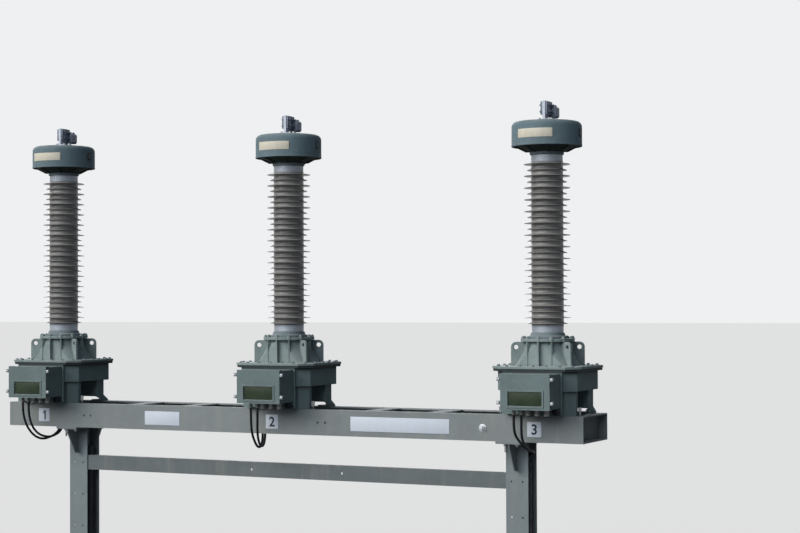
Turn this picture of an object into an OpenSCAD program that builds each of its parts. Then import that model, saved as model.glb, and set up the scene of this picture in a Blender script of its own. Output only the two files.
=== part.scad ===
// Row of three outdoor high-voltage instrument transformers on one steel stand.
// X runs along the row, the terminal boxes face -Y, Z points up from the ground.

/* [Row] */
// Distance between neighbouring transformers
phase_spacing = 2240; // [1800:10:2600]
// Height of the frame's top above the ground
beam_top = 1750; // [1200:10:2600]

/* [Frame] */
// Length of the frame past the outer transformers' axes
frame_overhang = 375; // [360:5:500]
// Depth of the frame over both long channels
frame_depth = 512; // [480:4:640]
// Height of the frame's channels
channel_h = 200; // [160:10:260]
// Width of a channel's flanges
channel_flange = 75; // [60:1:90]
// Thickness of a channel's web
channel_web = 8.5; // [6:0.5:12]
// Thickness of a channel's flanges
channel_lip = 11.5; // [8:0.5:14]
// Width of the cross beams' flanges
cross_w = 130; // [80:5:180]
// Distance of a cross beam from the middle between two transformers
cross_offset = 270; // [150:5:500]
// Diameter of the spare holes in the front channel's web
web_hole = 18; // [10:1:26]
// Spacing of a pair of spare holes
web_hole_spacing = 66; // [50:1:90]

/* [Posts] */
// Distance of a post from the outer transformer's axis, towards the middle
post_inset = 220; // [150:5:600]
// Width of a post's flanges
post_w = 180; // [140:5:220]
// Depth of a post over its flanges
post_d = 171; // [140:1:220]
// Thickness of a post's flanges
post_flange = 9.5; // [8:0.5:14]
// Thickness of a post's web
post_web = 6; // [5:0.5:10]
// Thickness of the head plates
head_plate_t = 18; // [12:1:25]
// Height of the gussets under a head plate
gusset_h = 210; // [120:5:240]
// Width of a gusset's lower nose
gusset_nose = 50; // [30:5:100]
// Thickness of the gussets
gusset_t = 10; // [8:1:16]
// Width of the square base plates
base_w = 360; // [300:10:420]
// Thickness of the base plates
base_t = 25; // [18:1:35]
// Spacing of the anchor holes
anchor_spacing = 280; // [220:10:340]
// Diameter of the anchor holes
anchor_hole = 26; // [18:1:33]
// Diameter of the holes down a post's front flange
post_hole = 14; // [10:1:22]
// Pitch of those holes down the post
post_hole_pitch = 267; // [200:1:300]
// Spacing of those holes across the post
post_hole_gauge = 91; // [70:1:120]
// Height of the tie rail between the posts
rail_h = 120; // [100:5:140]
// Width of the tie rail's flanges
rail_flange = 55; // [45:1:60]
// Distance from the frame's top down to the tie rail
rail_drop = 448; // [420:2:700]

/* [Tank] */
// Width of the tank's octagon
tank_w = 634; // [560:2:700]
// Depth of the tank's octagon
tank_d = 610; // [560:2:660]
// Chamfer of the tank's corners
tank_chamfer = 92; // [60:2:120]
// Height of the tank's feet
foot_h = 181; // [140:1:220]
// Height of the tank between its feet and its flange
tank_h = 143; // [100:1:200]
// Reach of the tank flange past the tank's sides
flange_side = 37; // [25:1:50]
// Reach of the tank flange past the tank's front and back
flange_front = 15; // [5:1:30]
// Thickness of the tank flange
tank_flange_t = 19; // [12:1:25]
// Thickness of the plates that the feet are bent from
foot_t = 14; // [8:1:20]
// Set-back of the feet behind the tank's sides
foot_inset = 22; // [5:1:30]
// Length of the front foot along the tank's side
front_foot_l = 58; // [30:1:90]
// Length of the opening between front and rear feet
foot_gap = 227; // [180:1:300]
// Length of a rear foot along the tank's side
rear_foot_l = 98; // [60:1:140]
// Distance that a rear foot sweeps back at its bottom
foot_sweep = 65; // [40:1:120]

/* [Casting] */
// Thickness of the casting's foot flange
casting_foot_t = 18; // [12:1:25]
// Height of the casting over the tank flange
casting_h = 219; // [180:1:260]
// Thickness of the casting's top flange
casting_top_t = 21; // [14:1:28]
// Radius of the casting's top flange
casting_top_r = 200; // [180:1:220]
// Radius of the casting's wall at its foot
casting_foot_r = 250; // [230:1:270]
// Depth of the casting's foot from its flat front to its flat back
casting_depth = 340; // [330:1:440]
// Radius of the casting's wall under its top flange
casting_neck_r = 165; // [150:1:175]
// Thickness of the casting's ribs
rib_t = 12; // [8:1:18]
// Thickness of the lifting lugs
lug_t = 16; // [12:1:24]
// Radius of the holes in the lifting lugs
lug_hole_r = 17; // [12:1:22]

/* [Insulator] */
// Height of the metal fitting under the porcelain
lower_fitting_h = 102; // [80:1:140]
// Length of the porcelain
porcelain_l = 1220; // [1000:10:1500]
// Radius of the porcelain between the sheds
core_r = 121; // [100:1:130]
// Radius of the large sheds
large_shed_r = 174; // [150:1:190]
// Radius of the small sheds
small_shed_r = 151; // [140:1:165]
// Number of sheds, large and small in turn
shed_count = 28; // [20:1:32]
// Radius of the metal fittings on the porcelain
fitting_r = 119; // [100:1:120]
// Height of the metal fitting over the porcelain, up to the head cover's rim
upper_fitting_h = 117; // [95:1:150]

/* [Head] */
// Radius of the head cover
head_r = 266; // [240:1:300]
// Height of the head cover
head_h = 194; // [150:1:240]
// Radius of the head cover's rounded top edge
head_round = 42; // [20:1:60]
// Width of the oil level gauge on the head cover
gauge_w = 40; // [30:1:60]
// Height of the oil level gauge
gauge_h = 64; // [61:1:110]
// Width of the terminal's base plate
terminal_w = 104; // [80:1:130]
// Thickness of the terminal's base plate
terminal_t = 14; // [10:1:20]
// Height of the palm above the head cover's top
palm_h = 151; // [130:1:200]
// Depth of the palm
palm_d = 105; // [90:1:120]
// Thickness of the palm
palm_t = 22; // [12:1:25]
// Spacing of the palm's bolt holes
palm_spacing = 50; // [40:1:50]
// Diameter of the palm's bolt holes
palm_hole = 14; // [12:1:18]
// Thickness of the clamp's pad
clamp_pad_t = 16; // [12:1:22]
// Width of the clamp's barrel
barrel_w = 52; // [50:1:70]
// Height of the clamp's barrel
barrel_h = 86; // [60:1:100]
// Length of the clamp's barrel
barrel_l = 72; // [60:1:100]
// Diameter of the conductor that the clamp takes
conductor_d = 28; // [20:1:32]

/* [Terminal box] */
// Width of the box's lid
box_w = 385; // [320:1:420]
// Height of the box's lid
box_h = 261; // [220:1:265]
// Distance of the box's middle to the right of the transformer's axis
box_shift = 36.5; // [0:0.5:60]
// Distance of the lid's top under the tank flange
box_drop = 8; // [4:1:30]
// Distance of the lid's face in front of the transformer's axis
box_reach = 551; // [500:1:580]
// Thickness of the lid
lid_t = 45; // [30:1:60]
// Overhang of the lid round the box
lid_lip = 4; // [2:0.5:8]
// Width of the window in the lid
window_w = 268; // [200:1:300]
// Height of the window in the lid
window_h = 106; // [70:1:130]
// Width of the raised frame round the window
window_frame = 12; // [8:1:20]
// Width of the tank's front plate, behind the box
front_plate_w = 472; // [430:1:480]
// Thickness of the tank's front plate
front_plate_t = 15; // [10:1:20]

/* [Cables] */
// Diameter of the secondary cables
cable_d = 19; // [12:1:24]
// Radius of the thin glands
thin_gland_r = 13; // [12:1:18]
// Radius of the thick glands
thick_gland_r = 20; // [16:1:24]
// Width of the cable ducts on the posts
duct_w = 80; // [60:1:85]
// Depth of the cable ducts
duct_d = 60; // [40:1:80]
// Distance of the cable ducts' tops under the frame's top
duct_drop = 370; // [300:5:500]
// Width of the cable cleats
cleat_w = 56; // [50:1:70]
// Height of the cable cleats
cleat_h = 40; // [25:1:60]

/* [Hidden] */
phases = [-1, 0, 1];
frame_half = phase_spacing + frame_overhang;
beam_under = beam_top - channel_h;
web_half = channel_h / 2 - channel_lip;
front_y = -frame_depth / 2;
flange_span = frame_depth - 2 * channel_flange;
web_span = frame_depth - 2 * channel_web;
web_hole_x = 405;
post_x = phase_spacing - post_inset;
head_plate_w = post_w + 24;
first_hole_drop = 511;
post_hole_rows = 5;
rail_hole_x = [-310, 520];

tank_top = foot_h + tank_h;
flange_top = tank_top + tank_flange_t;
flange_w = tank_w + 2 * flange_side;
flange_d = tank_d + 2 * flange_front;
flange_step = 4;
front_plate_y = -tank_d / 2 - front_plate_t;
front_plate_z = 12;
side_y = -tank_d / 2 + tank_chamfer;
skirt_back = side_y + front_foot_l;
rear_foot_y = skirt_back + foot_gap;
sole_t = 12;
sole_w = 120;
sweep_h = 42;

casting_wall_h = casting_h - casting_foot_t - casting_top_t;
casting_top = flange_top + casting_h;
rib_count = 12;
boss_r = 17;
lug_turns = [1, 5, 7, 11];
lug_round = 39;
lug_out = 28;
lug_reach = casting_foot_r + lug_out;
lug_gap = 2;

porcelain_foot = casting_top + lower_fitting_h;
porcelain_head = porcelain_foot + porcelain_l;
first_shed = 10;
last_shed = 15;
shed_pitch = (porcelain_l - first_shed - last_shed) / (shed_count - 1);
head_rim = porcelain_head + upper_fitting_h;
rim_depth = 18;
head_top = head_rim + head_h;

palm_front = -60;
palm_side = palm_t / 2;
palm_mid_y = palm_front + palm_d / 2;
palm_mid_z = head_top + terminal_t + palm_h / 2 + 6;
pad_set_back = 4;

box_left = box_shift - box_w / 2;
box_top = tank_top - box_drop;
box_floor = box_top - box_h;
lid_back = -(box_reach - lid_t);
frame_proud = 5;
gland_x = [-98, -38, 15, 88, 160];
gland_y = -430;
gland_drop = [46, 46, 52, 52, 52];
gland_r = [thin_gland_r, thin_gland_r, thick_gland_r, thick_gland_r, thick_gland_r];
gland_nut = 4;
valve_x = 208;
valve_z = 34;
valve_r = 17;
valve_l = 70;

row_y = (box_reach - flange_d / 2) / 2;
duct_y = -50;
duct_top = beam_top - duct_drop;
cleat_z = -150;
cleat_back = -145;
// Routes of the two cables of each transformer, from gland to cleat or duct
cable_routes = [
    [[[-98, -430, 13], [-98, -430, -35], [-95, -427, -85], [-88, -420, -134], [-77, -408, -181],
      [-60, -391, -224], [-37, -368, -263], [-10, -340, -290], [20, -306, -300], [48, -262, -290],
      [70, -216, -266], [82, -176, -230], [84, -165, -150]],
     [[-38, -430, 13], [-38, -430, -35], [-36, -427, -85], [-31, -420, -134], [-21, -408, -180],
      [-5, -390, -222], [18, -364, -256], [46, -328, -277], [74, -284, -282], [96, -238, -268],
      [108, -196, -242], [110, -170, -208], [110, -165, -150]]],
    [[[-98, -430, 13], [-98, -430, -35], [-98, -428, -90], [-98, -422, -145], [-97, -408, -198],
      [-95, -382, -248], [-96, -342, -290], [-103, -295, -304], [-116, -248, -296], [-131, -206, -270],
      [-144, -176, -232], [-150, -165, -190], [-150, -165, -150]],
     [[-38, -430, 13], [-38, -430, -35], [-40, -427, -90], [-45, -420, -142], [-51, -406, -193],
      [-58, -382, -240], [-66, -346, -280], [-77, -298, -296], [-91, -250, -288], [-107, -208, -262],
      [-120, -177, -226], [-126, -165, -186], [-126, -165, -150]]],
    [[[-98, -430, 13], [-98, -430, -40], [-98, -424, -92], [-97, -400, -138], [-96, -360, -170],
      [-95, -314, -198], [-94, -266, -226], [-93, -214, -248], [-94, -160, -264], [-98, -108, -274],
      [-116, -64, -282], [-148, -34, -300], [-178, -20, -330], [-178, -20, -370]],
     [[-38, -430, 13], [-38, -430, -40], [-40, -426, -92], [-44, -410, -141], [-49, -378, -180],
      [-54, -334, -208], [-58, -286, -232], [-62, -234, -252], [-66, -180, -266], [-71, -126, -277],
      [-86, -78, -288], [-118, -42, -300], [-153, -20, -330], [-153, -20, -370]]]
];

// Rectangle with chamfered corners, centred on the axis
module octagon(w, d, c) {
    polygon([[-w / 2 + c, -d / 2], [w / 2 - c, -d / 2], [w / 2, -d / 2 + c], [w / 2, d / 2 - c],
             [w / 2 - c, d / 2], [-w / 2 + c, d / 2], [-w / 2, d / 2 - c], [-w / 2, -d / 2 + c]]);
}

// Channel along X with its web at y = 0 and its flanges towards +Y, its top at z = 0
module channel(length, height, flange, web, lip) {
    rotate([90, 0, 90])
        linear_extrude(length, center = true)
            polygon([[0, 0], [flange, 0], [flange, -lip], [web, -lip], [web, lip - height],
                     [flange, lip - height], [flange, -height], [0, -height]]);
}

// I-section outline standing in the XY plane, flanges parallel to X
module i_outline(w, d, flange, web) {
    for (s = [-1, 1])
        translate([-w / 2, s > 0 ? d / 2 - flange : -d / 2])
            square([w, flange]);
    translate([-web / 2, -d / 2 + flange / 2])
        square([web, d - flange]);
}

// Plain hole along Y, from y = 0 inwards
module hole_y(x, z, d, depth) {
    translate([x, -1, z])
        rotate([-90, 0, 0])
            cylinder(h = depth + 2, d = d, $fn = 24);
}

module front_channel() {
    color("gainsboro")
        translate([0, row_y + front_y, beam_top])
            difference() {
                channel(2 * frame_half, channel_h, channel_flange, channel_web, channel_lip);
                for (i = [0, 1], k = [0, 1])
                    hole_y(phases[i] * phase_spacing + web_hole_x + k * web_hole_spacing, -channel_h / 2,
                           web_hole, channel_web);
            }
}

module rear_channel() {
    color("gainsboro")
        translate([0, row_y - front_y, beam_top])
            mirror([0, 1, 0])
                channel(2 * frame_half, channel_h, channel_flange, channel_web, channel_lip);
}

// Channels across the frame's ends, their flanges outwards
module end_channels() {
    color("gainsboro")
        for (s = [-1, 1])
            translate([0, row_y, beam_top - channel_h / 2])
                mirror([s < 0 ? 1 : 0, 0, 0]) {
                    translate([frame_half - channel_flange, -web_span / 2, -web_half])
                        cube([channel_web, web_span, 2 * web_half]);
                    for (t = [-1, 1])
                        translate([frame_half - channel_flange, -flange_span / 2,
                                   t > 0 ? web_half : -channel_h / 2])
                            cube([channel_flange, flange_span, channel_lip]);
                }
}

// Beams across the frame between the transformers, flush with its top
module cross_beams() {
    color("gainsboro")
        for (mid = [-phase_spacing / 2, phase_spacing / 2], s = [-1, 1])
            translate([mid + s * cross_offset, row_y, beam_top - channel_h / 2]) {
                translate([-channel_web / 2, -web_span / 2, -web_half])
                    cube([channel_web, web_span, 2 * web_half]);
                for (t = [-1, 1])
                    translate([-cross_w / 2, -flange_span / 2, t > 0 ? web_half : -channel_h / 2])
                        cube([cross_w, flange_span, channel_lip]);
            }
}

// Upright plate that stiffens a post's head plate in front of the post
module gusset() {
    set_back = 15;
    edge = 30;
    reach = (frame_depth - post_d) / 2 - set_back;
    translate([gusset_t / 2, -post_d / 2, 0])
        rotate([90, 0, -90])
            linear_extrude(gusset_t)
                polygon([[0, 0], [reach, 0], [reach, -edge], [gusset_nose, -gusset_h], [0, -gusset_h]]);
}

// Post of H-section with its head plate, gussets and base plate
module post(s) {
    head_z = beam_under - head_plate_t;
    base_pos = anchor_spacing / 2;
    color("lightgrey")
        translate([s * post_x, row_y, 0]) {
            difference() {
                translate([0, 0, base_t])
                    linear_extrude(head_z - base_t)
                        i_outline(post_w, post_d, post_flange, post_web);
                translate([0, -post_d / 2, 0])
                    for (x = [-1, 1], k = [0:post_hole_rows - 1])
                        hole_y(x * post_hole_gauge / 2, beam_top - first_hole_drop - k * post_hole_pitch,
                               post_hole, post_flange);
            }
            translate([-head_plate_w / 2, front_y, head_z])
                cube([head_plate_w, frame_depth, head_plate_t]);
            for (side = [-1, 1])
                mirror([0, side > 0 ? 1 : 0, 0])
                    translate([0, 0, head_z])
                        gusset();
            difference() {
                translate([-base_w / 2, -base_w / 2, 0])
                    cube([base_w, base_w, base_t]);
                for (x = [-base_pos, base_pos], y = [-base_pos, base_pos])
                    translate([x, y, -1])
                        cylinder(h = base_t + 2, d = anchor_hole, $fn = 32);
            }
        }
}

// Rail between the posts, in the recess behind their front flanges
module tie_rail() {
    inner = post_x - post_web / 2;
    rail_web = 7;
    rail_lip = 9;
    color("lightgrey")
        translate([0, row_y - post_d / 2 + post_flange, beam_top - rail_drop])
            difference() {
                channel(2 * inner, rail_h, rail_flange, rail_web, rail_lip);
                for (x = rail_hole_x)
                    hole_y(x, -rail_h / 2, web_hole, rail_web);
            }
}

// Closed ducts that lead the cables down the posts, in the recess on their right
module cable_ducts() {
    color("dimgray")
        for (s = [-1, 1])
            translate([s * post_x + post_web / 2, row_y + duct_y, base_t])
                cube([duct_w, duct_d, duct_top - base_t]);
}

// Cleats on the inside of the front channel that take the cables of the first two transformers
module cable_cleats() {
    cleat_front = front_y + channel_web;
    color("dimgray")
        for (i = [0, 1])
            let (ends = [for (route = cable_routes[i]) route[len(route) - 1]])
                translate([phases[i] * phase_spacing + (ends[0].x + ends[1].x - cleat_w) / 2,
                           row_y + cleat_front, beam_top + cleat_z])
                    cube([cleat_w, cleat_back - cleat_front, cleat_h]);
}

// Front foot: the tank's octagon carried down as a skirt, open behind
module front_foot() {
    w = tank_w - 2 * foot_inset;
    d = tank_d - 2 * foot_inset;
    linear_extrude(foot_h)
        difference() {
            octagon(w, d, tank_chamfer);
            octagon(w - 2 * foot_t, d - 2 * foot_t, tank_chamfer - foot_t / 2);
            translate([-tank_w, skirt_back])
                square([2 * tank_w, tank_d]);
        }
}

// Rear foot of the right side, which sweeps back to the rear channel
module rear_foot() {
    outer = tank_w / 2 - foot_inset;
    back = rear_foot_y + rear_foot_l;
    heel = back + foot_sweep;
    translate([outer - foot_t, 0, 0])
        rotate([90, 0, 90])
            linear_extrude(foot_t)
                polygon([[rear_foot_y, foot_h], [rear_foot_y, sweep_h], [back - foot_t, sole_t],
                         [back - foot_t, 0], [heel, 0], [heel, sole_t], [back, sweep_h + sole_t],
                         [back, foot_h]]);
    translate([outer - sole_w, back - foot_t, 0])
        cube([sole_w - foot_t / 2, heel - back + foot_t, sole_t]);
}

// Tank of one transformer, with its feet, top flange, front plate and drain valve
module tank() {
    color("slategray") {
        translate([0, 0, foot_h])
            linear_extrude(tank_h)
                octagon(tank_w, tank_d, tank_chamfer);
        translate([0, 0, tank_top])
            linear_extrude(tank_flange_t)
                octagon(flange_w - 2 * flange_step, flange_d - 2 * flange_step, tank_chamfer);
        front_foot();
        for (side = [-1, 1])
            mirror([side < 0 ? 1 : 0, 0, 0])
                rear_foot();
        translate([foot_inset + (foot_t - tank_w) / 2, rear_foot_y, sweep_h])
            cube([tank_w - 2 * foot_inset - foot_t, foot_t, foot_h - sweep_h]);
        translate([-front_plate_w / 2, front_plate_y, front_plate_z])
            cube([front_plate_w, front_plate_t, tank_top - front_plate_z]);
        translate([valve_x, front_plate_y - valve_l, valve_z])
            rotate([-90, 0, 0])
                cylinder(h = valve_l + front_plate_t / 2, r = valve_r, $fn = 32);
    }
}

// Flat outline of a lifting lug, seen from its side
module lug_outline() {
    lug_h = casting_wall_h - lug_gap;
    eye = [lug_reach - lug_round, lug_h - lug_round];
    root = casting_neck_r / 2;
    difference() {
        union() {
            translate([root, 0])
                square([lug_reach - root, eye.y]);
            translate([root, 0])
                square([eye.x - root, lug_h]);
            translate(eye)
                circle(r = lug_round, $fn = 48);
        }
        translate(eye)
            circle(r = lug_hole_r, $fn = 32);
    }
}

// Ribbed casting between tank and insulator
module base_casting() {
    steps = 6;
    flare = casting_foot_r - casting_neck_r;
    rib_root = casting_neck_r / 2;
    boss_pos = casting_top_r - boss_r + flange_step;
    color("slategray") {
        translate([0, 0, flange_top])
            linear_extrude(casting_foot_t)
                octagon(flange_w, flange_d, tank_chamfer);
        translate([0, 0, casting_top - casting_top_t])
            cylinder(h = casting_top_t, r = casting_top_r, $fn = 72);
        translate([0, 0, flange_top + casting_foot_t]) {
            intersection() {
                rotate_extrude($fn = 72)
                    polygon(concat([[0, 0]],
                        [for (k = [0:steps]) let (t = k / steps)
                            [casting_neck_r + flare * pow(1 - t, 1.5), casting_wall_h * t]],
                        [[0, casting_wall_h]]));
                translate([-casting_foot_r, -casting_depth / 2, 0])
                    cube([2 * casting_foot_r, casting_depth, casting_wall_h]);
            }
            for (k = [0:rib_count - 1])
                rotate([0, 0, k * 360 / rib_count]) {
                    translate([boss_pos, 0, casting_wall_h])
                        cylinder(h = casting_top_t, r = boss_r, $fn = 24);
                    if (len(search(k, lug_turns)) == 0)
                        translate([0, rib_t / 2, 0])
                            rotate([90, 0, 0])
                                linear_extrude(rib_t)
                                    translate([rib_root, 0])
                                        square([casting_top_r - rib_root, casting_wall_h]);
                }
            for (k = lug_turns)
                rotate([0, 0, k * 360 / rib_count])
                    translate([0, lug_t / 2, 0])
                        rotate([90, 0, 0])
                            linear_extrude(lug_t)
                                lug_outline();
        }
    }
}

// Metal fitting under the porcelain
module lower_fitting() {
    ring_out = 28;
    ring_r = fitting_r + ring_out;
    neck_z = 46;
    color("silver")
        translate([0, 0, casting_top])
            rotate_extrude($fn = 72)
                polygon([[0, 0], [ring_r, 0], [ring_r, 18], [ring_r - 15, 24], [fitting_r + 7, neck_z - 4],
                         [fitting_r, neck_z], [fitting_r, lower_fitting_h], [0, lower_fitting_h]]);
}

// Porcelain with large and small sheds in turn, each sloping down to its rim
module insulator() {
    root_h = 14;
    color("rosybrown")
        translate([0, 0, porcelain_foot])
            rotate_extrude($fn = 72)
                polygon(concat([[0, 0], [core_r, 0]],
                    [for (k = [0:shed_count - 1])
                        let (r = k % 2 == 0 ? small_shed_r : large_shed_r,
                             z = shed_pitch * k + first_shed)
                        each [[core_r, z + 1], [r - 2, z - 2], [r, z + 1], [r - 3, z + 4],
                              [core_r + 6, z + 10], [core_r, z + root_h]]],
                    [[core_r, porcelain_l], [0, porcelain_l]]));
}

// Metal fitting on the porcelain, with the ribbed cone that carries the head
module upper_fitting() {
    ring_r = fitting_r + 9;
    ring_z = 53;
    neck_z = 77;
    cone_z = upper_fitting_h + rim_depth;
    cone_set_back = 30;
    cone_r = head_r - cone_set_back;
    cone_edge = 10;
    ribs = 8;
    rib_in = cone_r - 8;
    rib_root = fitting_r - 19;
    color("silver")
        translate([0, 0, porcelain_head]) {
            rotate_extrude($fn = 72)
                polygon([[0, 0], [fitting_r, 0], [fitting_r, ring_z], [ring_r, ring_z], [ring_r, neck_z],
                         [ring_r + 6, neck_z + 4], [cone_r, cone_z - cone_edge], [cone_r, cone_z],
                         [0, cone_z]]);
            for (k = [0:ribs - 1])
                rotate([0, 0, (k + 0.5) * 360 / ribs])
                    translate([0, rib_t / 2, 0])
                        rotate([90, 0, 0])
                            linear_extrude(rib_t)
                                polygon([[rib_root, neck_z], [ring_r + 20, neck_z - 6],
                                         [rib_in, cone_z - 24], [rib_in, cone_z - 5], [rib_root, cone_z - 5]]);
        }
}

// Oval outline of the oil level gauge
module gauge_outline() {
    straight = gauge_h - gauge_w;
    square([gauge_w, straight], center = true);
    for (s = [-1, 1])
        translate([0, s * straight / 2])
            circle(d = gauge_w, $fn = 40);
}

// Drum-shaped cover of the expansion space, with the oil level gauge on its right
module head_cover() {
    floor_z = rim_depth;
    wall = 8;
    crown = 6;
    crown_r = 120;
    gauge_proud = 7;
    color("slategray")
        translate([0, 0, head_rim]) {
            rotate_extrude($fn = 96)
                polygon(concat([[0, floor_z], [head_r - wall, floor_z], [head_r - wall, 0], [head_r, 0]],
                    [for (a = [0:15:90])
                        [head_r - head_round * (1 - cos(a)), head_h - crown - head_round * (1 - sin(a))]],
                    [[crown_r, head_h], [0, head_h]]));
            translate([head_r / 2, 0, head_h / 2])
                rotate([90, 0, 90])
                    linear_extrude(head_r / 2 + gauge_proud)
                        gauge_outline();
        }
}

// The four bolt holes of palm and clamp
module palm_bolts(length) {
    half = palm_spacing / 2;
    for (y = [-half, half], z = [-half, half])
        translate([0, palm_mid_y + y, palm_mid_z + z])
            rotate([0, 90, 0])
                cylinder(h = length, d = palm_hole, center = true, $fn = 32);
}

// Primary terminal: a base plate and a drilled palm
module terminal() {
    color("silver")
        difference() {
            union() {
                translate([-terminal_w / 2, palm_front, head_top])
                    cube([terminal_w, palm_d + 10, terminal_t]);
                translate([-palm_side, palm_front, head_top + terminal_t])
                    cube([palm_t, palm_d, palm_h - terminal_t]);
            }
            palm_bolts(palm_t + 20);
        }
}

// Clamp of two pads, bolted to the palm's sides; the barrel's blind bore takes the conductor
module conductor_clamp() {
    pad_h = 100;
    barrel_y = palm_front + palm_d - 15;
    barrel_z = palm_mid_z - 26;
    barrel_edge = 12;
    bore_floor = 12;
    color("gray")
        difference() {
            union() {
                for (x = [-palm_side - clamp_pad_t, palm_side])
                    translate([x, palm_front + pad_set_back, palm_mid_z - pad_h / 2])
                        cube([clamp_pad_t, palm_d, pad_h]);
                translate([palm_side + barrel_w / 2, barrel_y, barrel_z])
                    rotate([-90, 0, 0])
                        linear_extrude(barrel_l)
                            octagon(barrel_w, barrel_h, barrel_edge);
            }
            palm_bolts(2 * (palm_side + clamp_pad_t) + 20);
            translate([palm_side + barrel_w / 2, barrel_y + bore_floor, barrel_z])
                rotate([-90, 0, 0])
                    cylinder(h = barrel_l, d = conductor_d, $fn = 32);
        }
}

// Box for the secondary terminals, on the tank's front plate
module terminal_box() {
    color("lightslategray")
        translate([box_left + lid_lip, lid_back, box_floor + lid_lip])
            cube([box_w - 2 * lid_lip, front_plate_y - lid_back, box_h - 2 * lid_lip]);
}

// Lid of the terminal box with its raised window frame and screw ears
module box_lid() {
    face = -box_reach + frame_proud;
    window_x = box_shift - window_w / 2;
    window_sill = 28;
    window_z = box_floor + window_sill;
    window_deep = 7;
    ear = [46, 24, 26];
    ear_out = 30;
    ear_low = 38;
    ear_high = 52;
    color("lightslategray")
        difference() {
            union() {
                translate([box_left, face, box_floor])
                    cube([box_w, lid_t - frame_proud, box_h]);
                translate([window_x - window_frame, -box_reach, window_z - window_frame])
                    cube([window_w + 2 * window_frame, 2 * frame_proud, window_h + 2 * window_frame]);
                for (x = [box_left - ear_out, box_left + box_w + ear_out - ear.x],
                     z = [box_floor + ear_low, box_top - ear_high])
                    translate([x, face + 1, z])
                        cube(ear);
            }
            translate([window_x, -box_reach - 1, window_z])
                cube([window_w, frame_proud + window_deep + 1, window_h]);
        }
}

// Five glands in the box's underside, each with a six-sided nut at its top and bottom
module cable_glands() {
    nut_h = 12;
    color("silver")
        for (k = [0:4])
            translate([gland_x[k], gland_y, box_floor + lid_lip - gland_drop[k]]) {
                cylinder(h = gland_drop[k], r = gland_r[k], $fn = 48);
                for (z = [6, gland_drop[k] - nut_h])
                    translate([0, 0, z])
                        cylinder(h = nut_h, r = gland_r[k] + gland_nut, $fn = 6);
            }
}

// Direction of a route at its point k
function heading(route, k) =
    let (n = len(route), d = route[min(k + 1, n - 1)] - route[max(k - 1, 0)])
    k == 0 ? [0, 0, -1] : d / norm(d);

// Round tube swept along a route, with one ring of points at each of its points
module tube(route, d) {
    sides = 10;
    n = len(route);
    rings = [for (k = [0:n - 1])
        let (t = heading(route, k), u = cross(t, [1, 0, 0]) / norm(cross(t, [1, 0, 0])), v = cross(t, u))
        each [for (j = [0:sides - 1])
            route[k] + d / 2 * (cos(360 * j / sides) * u + sin(360 * j / sides) * v)]];
    walls = [for (k = [0:n - 2], j = [0:sides - 1])
        let (a = k * sides + j, b = k * sides + (j + 1) % sides)
        each [[a, b, b + sides], [a, b + sides, a + sides]]];
    color("black")
        polyhedron(rings, concat(walls, [[for (j = [sides - 1:-1:0]) j],
                                         [for (j = [0:sides - 1]) (n - 1) * sides + j]]));
}

front_channel();
rear_channel();
end_channels();
cross_beams();
post(-1);  // post_left
post(1);  // post_right
tie_rail();
cable_ducts();
cable_cleats();
for (i = [0:2]) {
    place = [phases[i] * phase_spacing, row_y, beam_top];
    n = i + 1;
    translate(place) tank();
    translate(place) base_casting();
    translate(place) lower_fitting();
    translate(place) insulator();
    translate(place) upper_fitting();
    translate(place) head_cover();
    translate(place) terminal();
    translate(place) conductor_clamp();
    translate(place) terminal_box();
    translate(place) box_lid();
    translate(place) cable_glands();
    translate(place) tube(cable_routes[i][0], cable_d);
    translate(place) tube(cable_routes[i][1], cable_d);
}
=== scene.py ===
"""Dresses a row of three outdoor instrument transformers on one steel stand.

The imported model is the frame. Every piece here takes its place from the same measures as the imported
solids: lengths are in metres, X runs along the row, the terminal boxes face -Y and Z points up.
"""

import logging
import math
from contextlib import contextmanager
from dataclasses import dataclass
from enum import Enum
from typing import Callable, Iterator, Sequence

import bmesh
import bpy
from mathutils import Matrix, Vector


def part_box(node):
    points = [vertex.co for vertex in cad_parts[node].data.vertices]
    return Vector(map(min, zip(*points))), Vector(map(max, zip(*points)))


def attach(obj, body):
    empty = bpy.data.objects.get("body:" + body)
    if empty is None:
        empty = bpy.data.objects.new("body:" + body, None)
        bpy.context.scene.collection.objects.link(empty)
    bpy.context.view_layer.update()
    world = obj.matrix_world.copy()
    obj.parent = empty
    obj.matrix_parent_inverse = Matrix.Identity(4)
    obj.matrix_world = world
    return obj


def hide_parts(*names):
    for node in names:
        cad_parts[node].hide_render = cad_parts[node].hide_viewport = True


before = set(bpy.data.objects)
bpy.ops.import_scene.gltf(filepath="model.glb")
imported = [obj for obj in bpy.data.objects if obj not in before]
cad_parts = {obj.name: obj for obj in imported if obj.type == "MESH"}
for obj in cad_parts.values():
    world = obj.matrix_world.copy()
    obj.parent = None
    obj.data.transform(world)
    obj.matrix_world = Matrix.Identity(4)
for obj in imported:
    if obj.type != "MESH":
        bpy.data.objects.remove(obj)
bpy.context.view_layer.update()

log = logging.getLogger("transformer_row")

Vec3 = tuple[float, float, float]
Point = tuple[float, float]
Colour = tuple[float, float, float]
Piece = bpy.types.Object
Socket = bpy.types.NodeSocket
Sockets = dict[str, Socket]
Value = float | Vec3 | Socket

# Where the row stands: the line of the transformers, the frame's top and the distance between transformers.
ROW_Y = 0.1155
FRAME_TOP = 1.75
PITCH = 2.24

# Heights over the frame's top, and the front web's face in front of the line of the transformers.
CASTING_TOP = 0.562
PORCELAIN_FOOT = 0.664
PORCELAIN_HEAD = 1.884
HEAD_RIM = 2.001
WEB_FACE = -0.256


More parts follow.
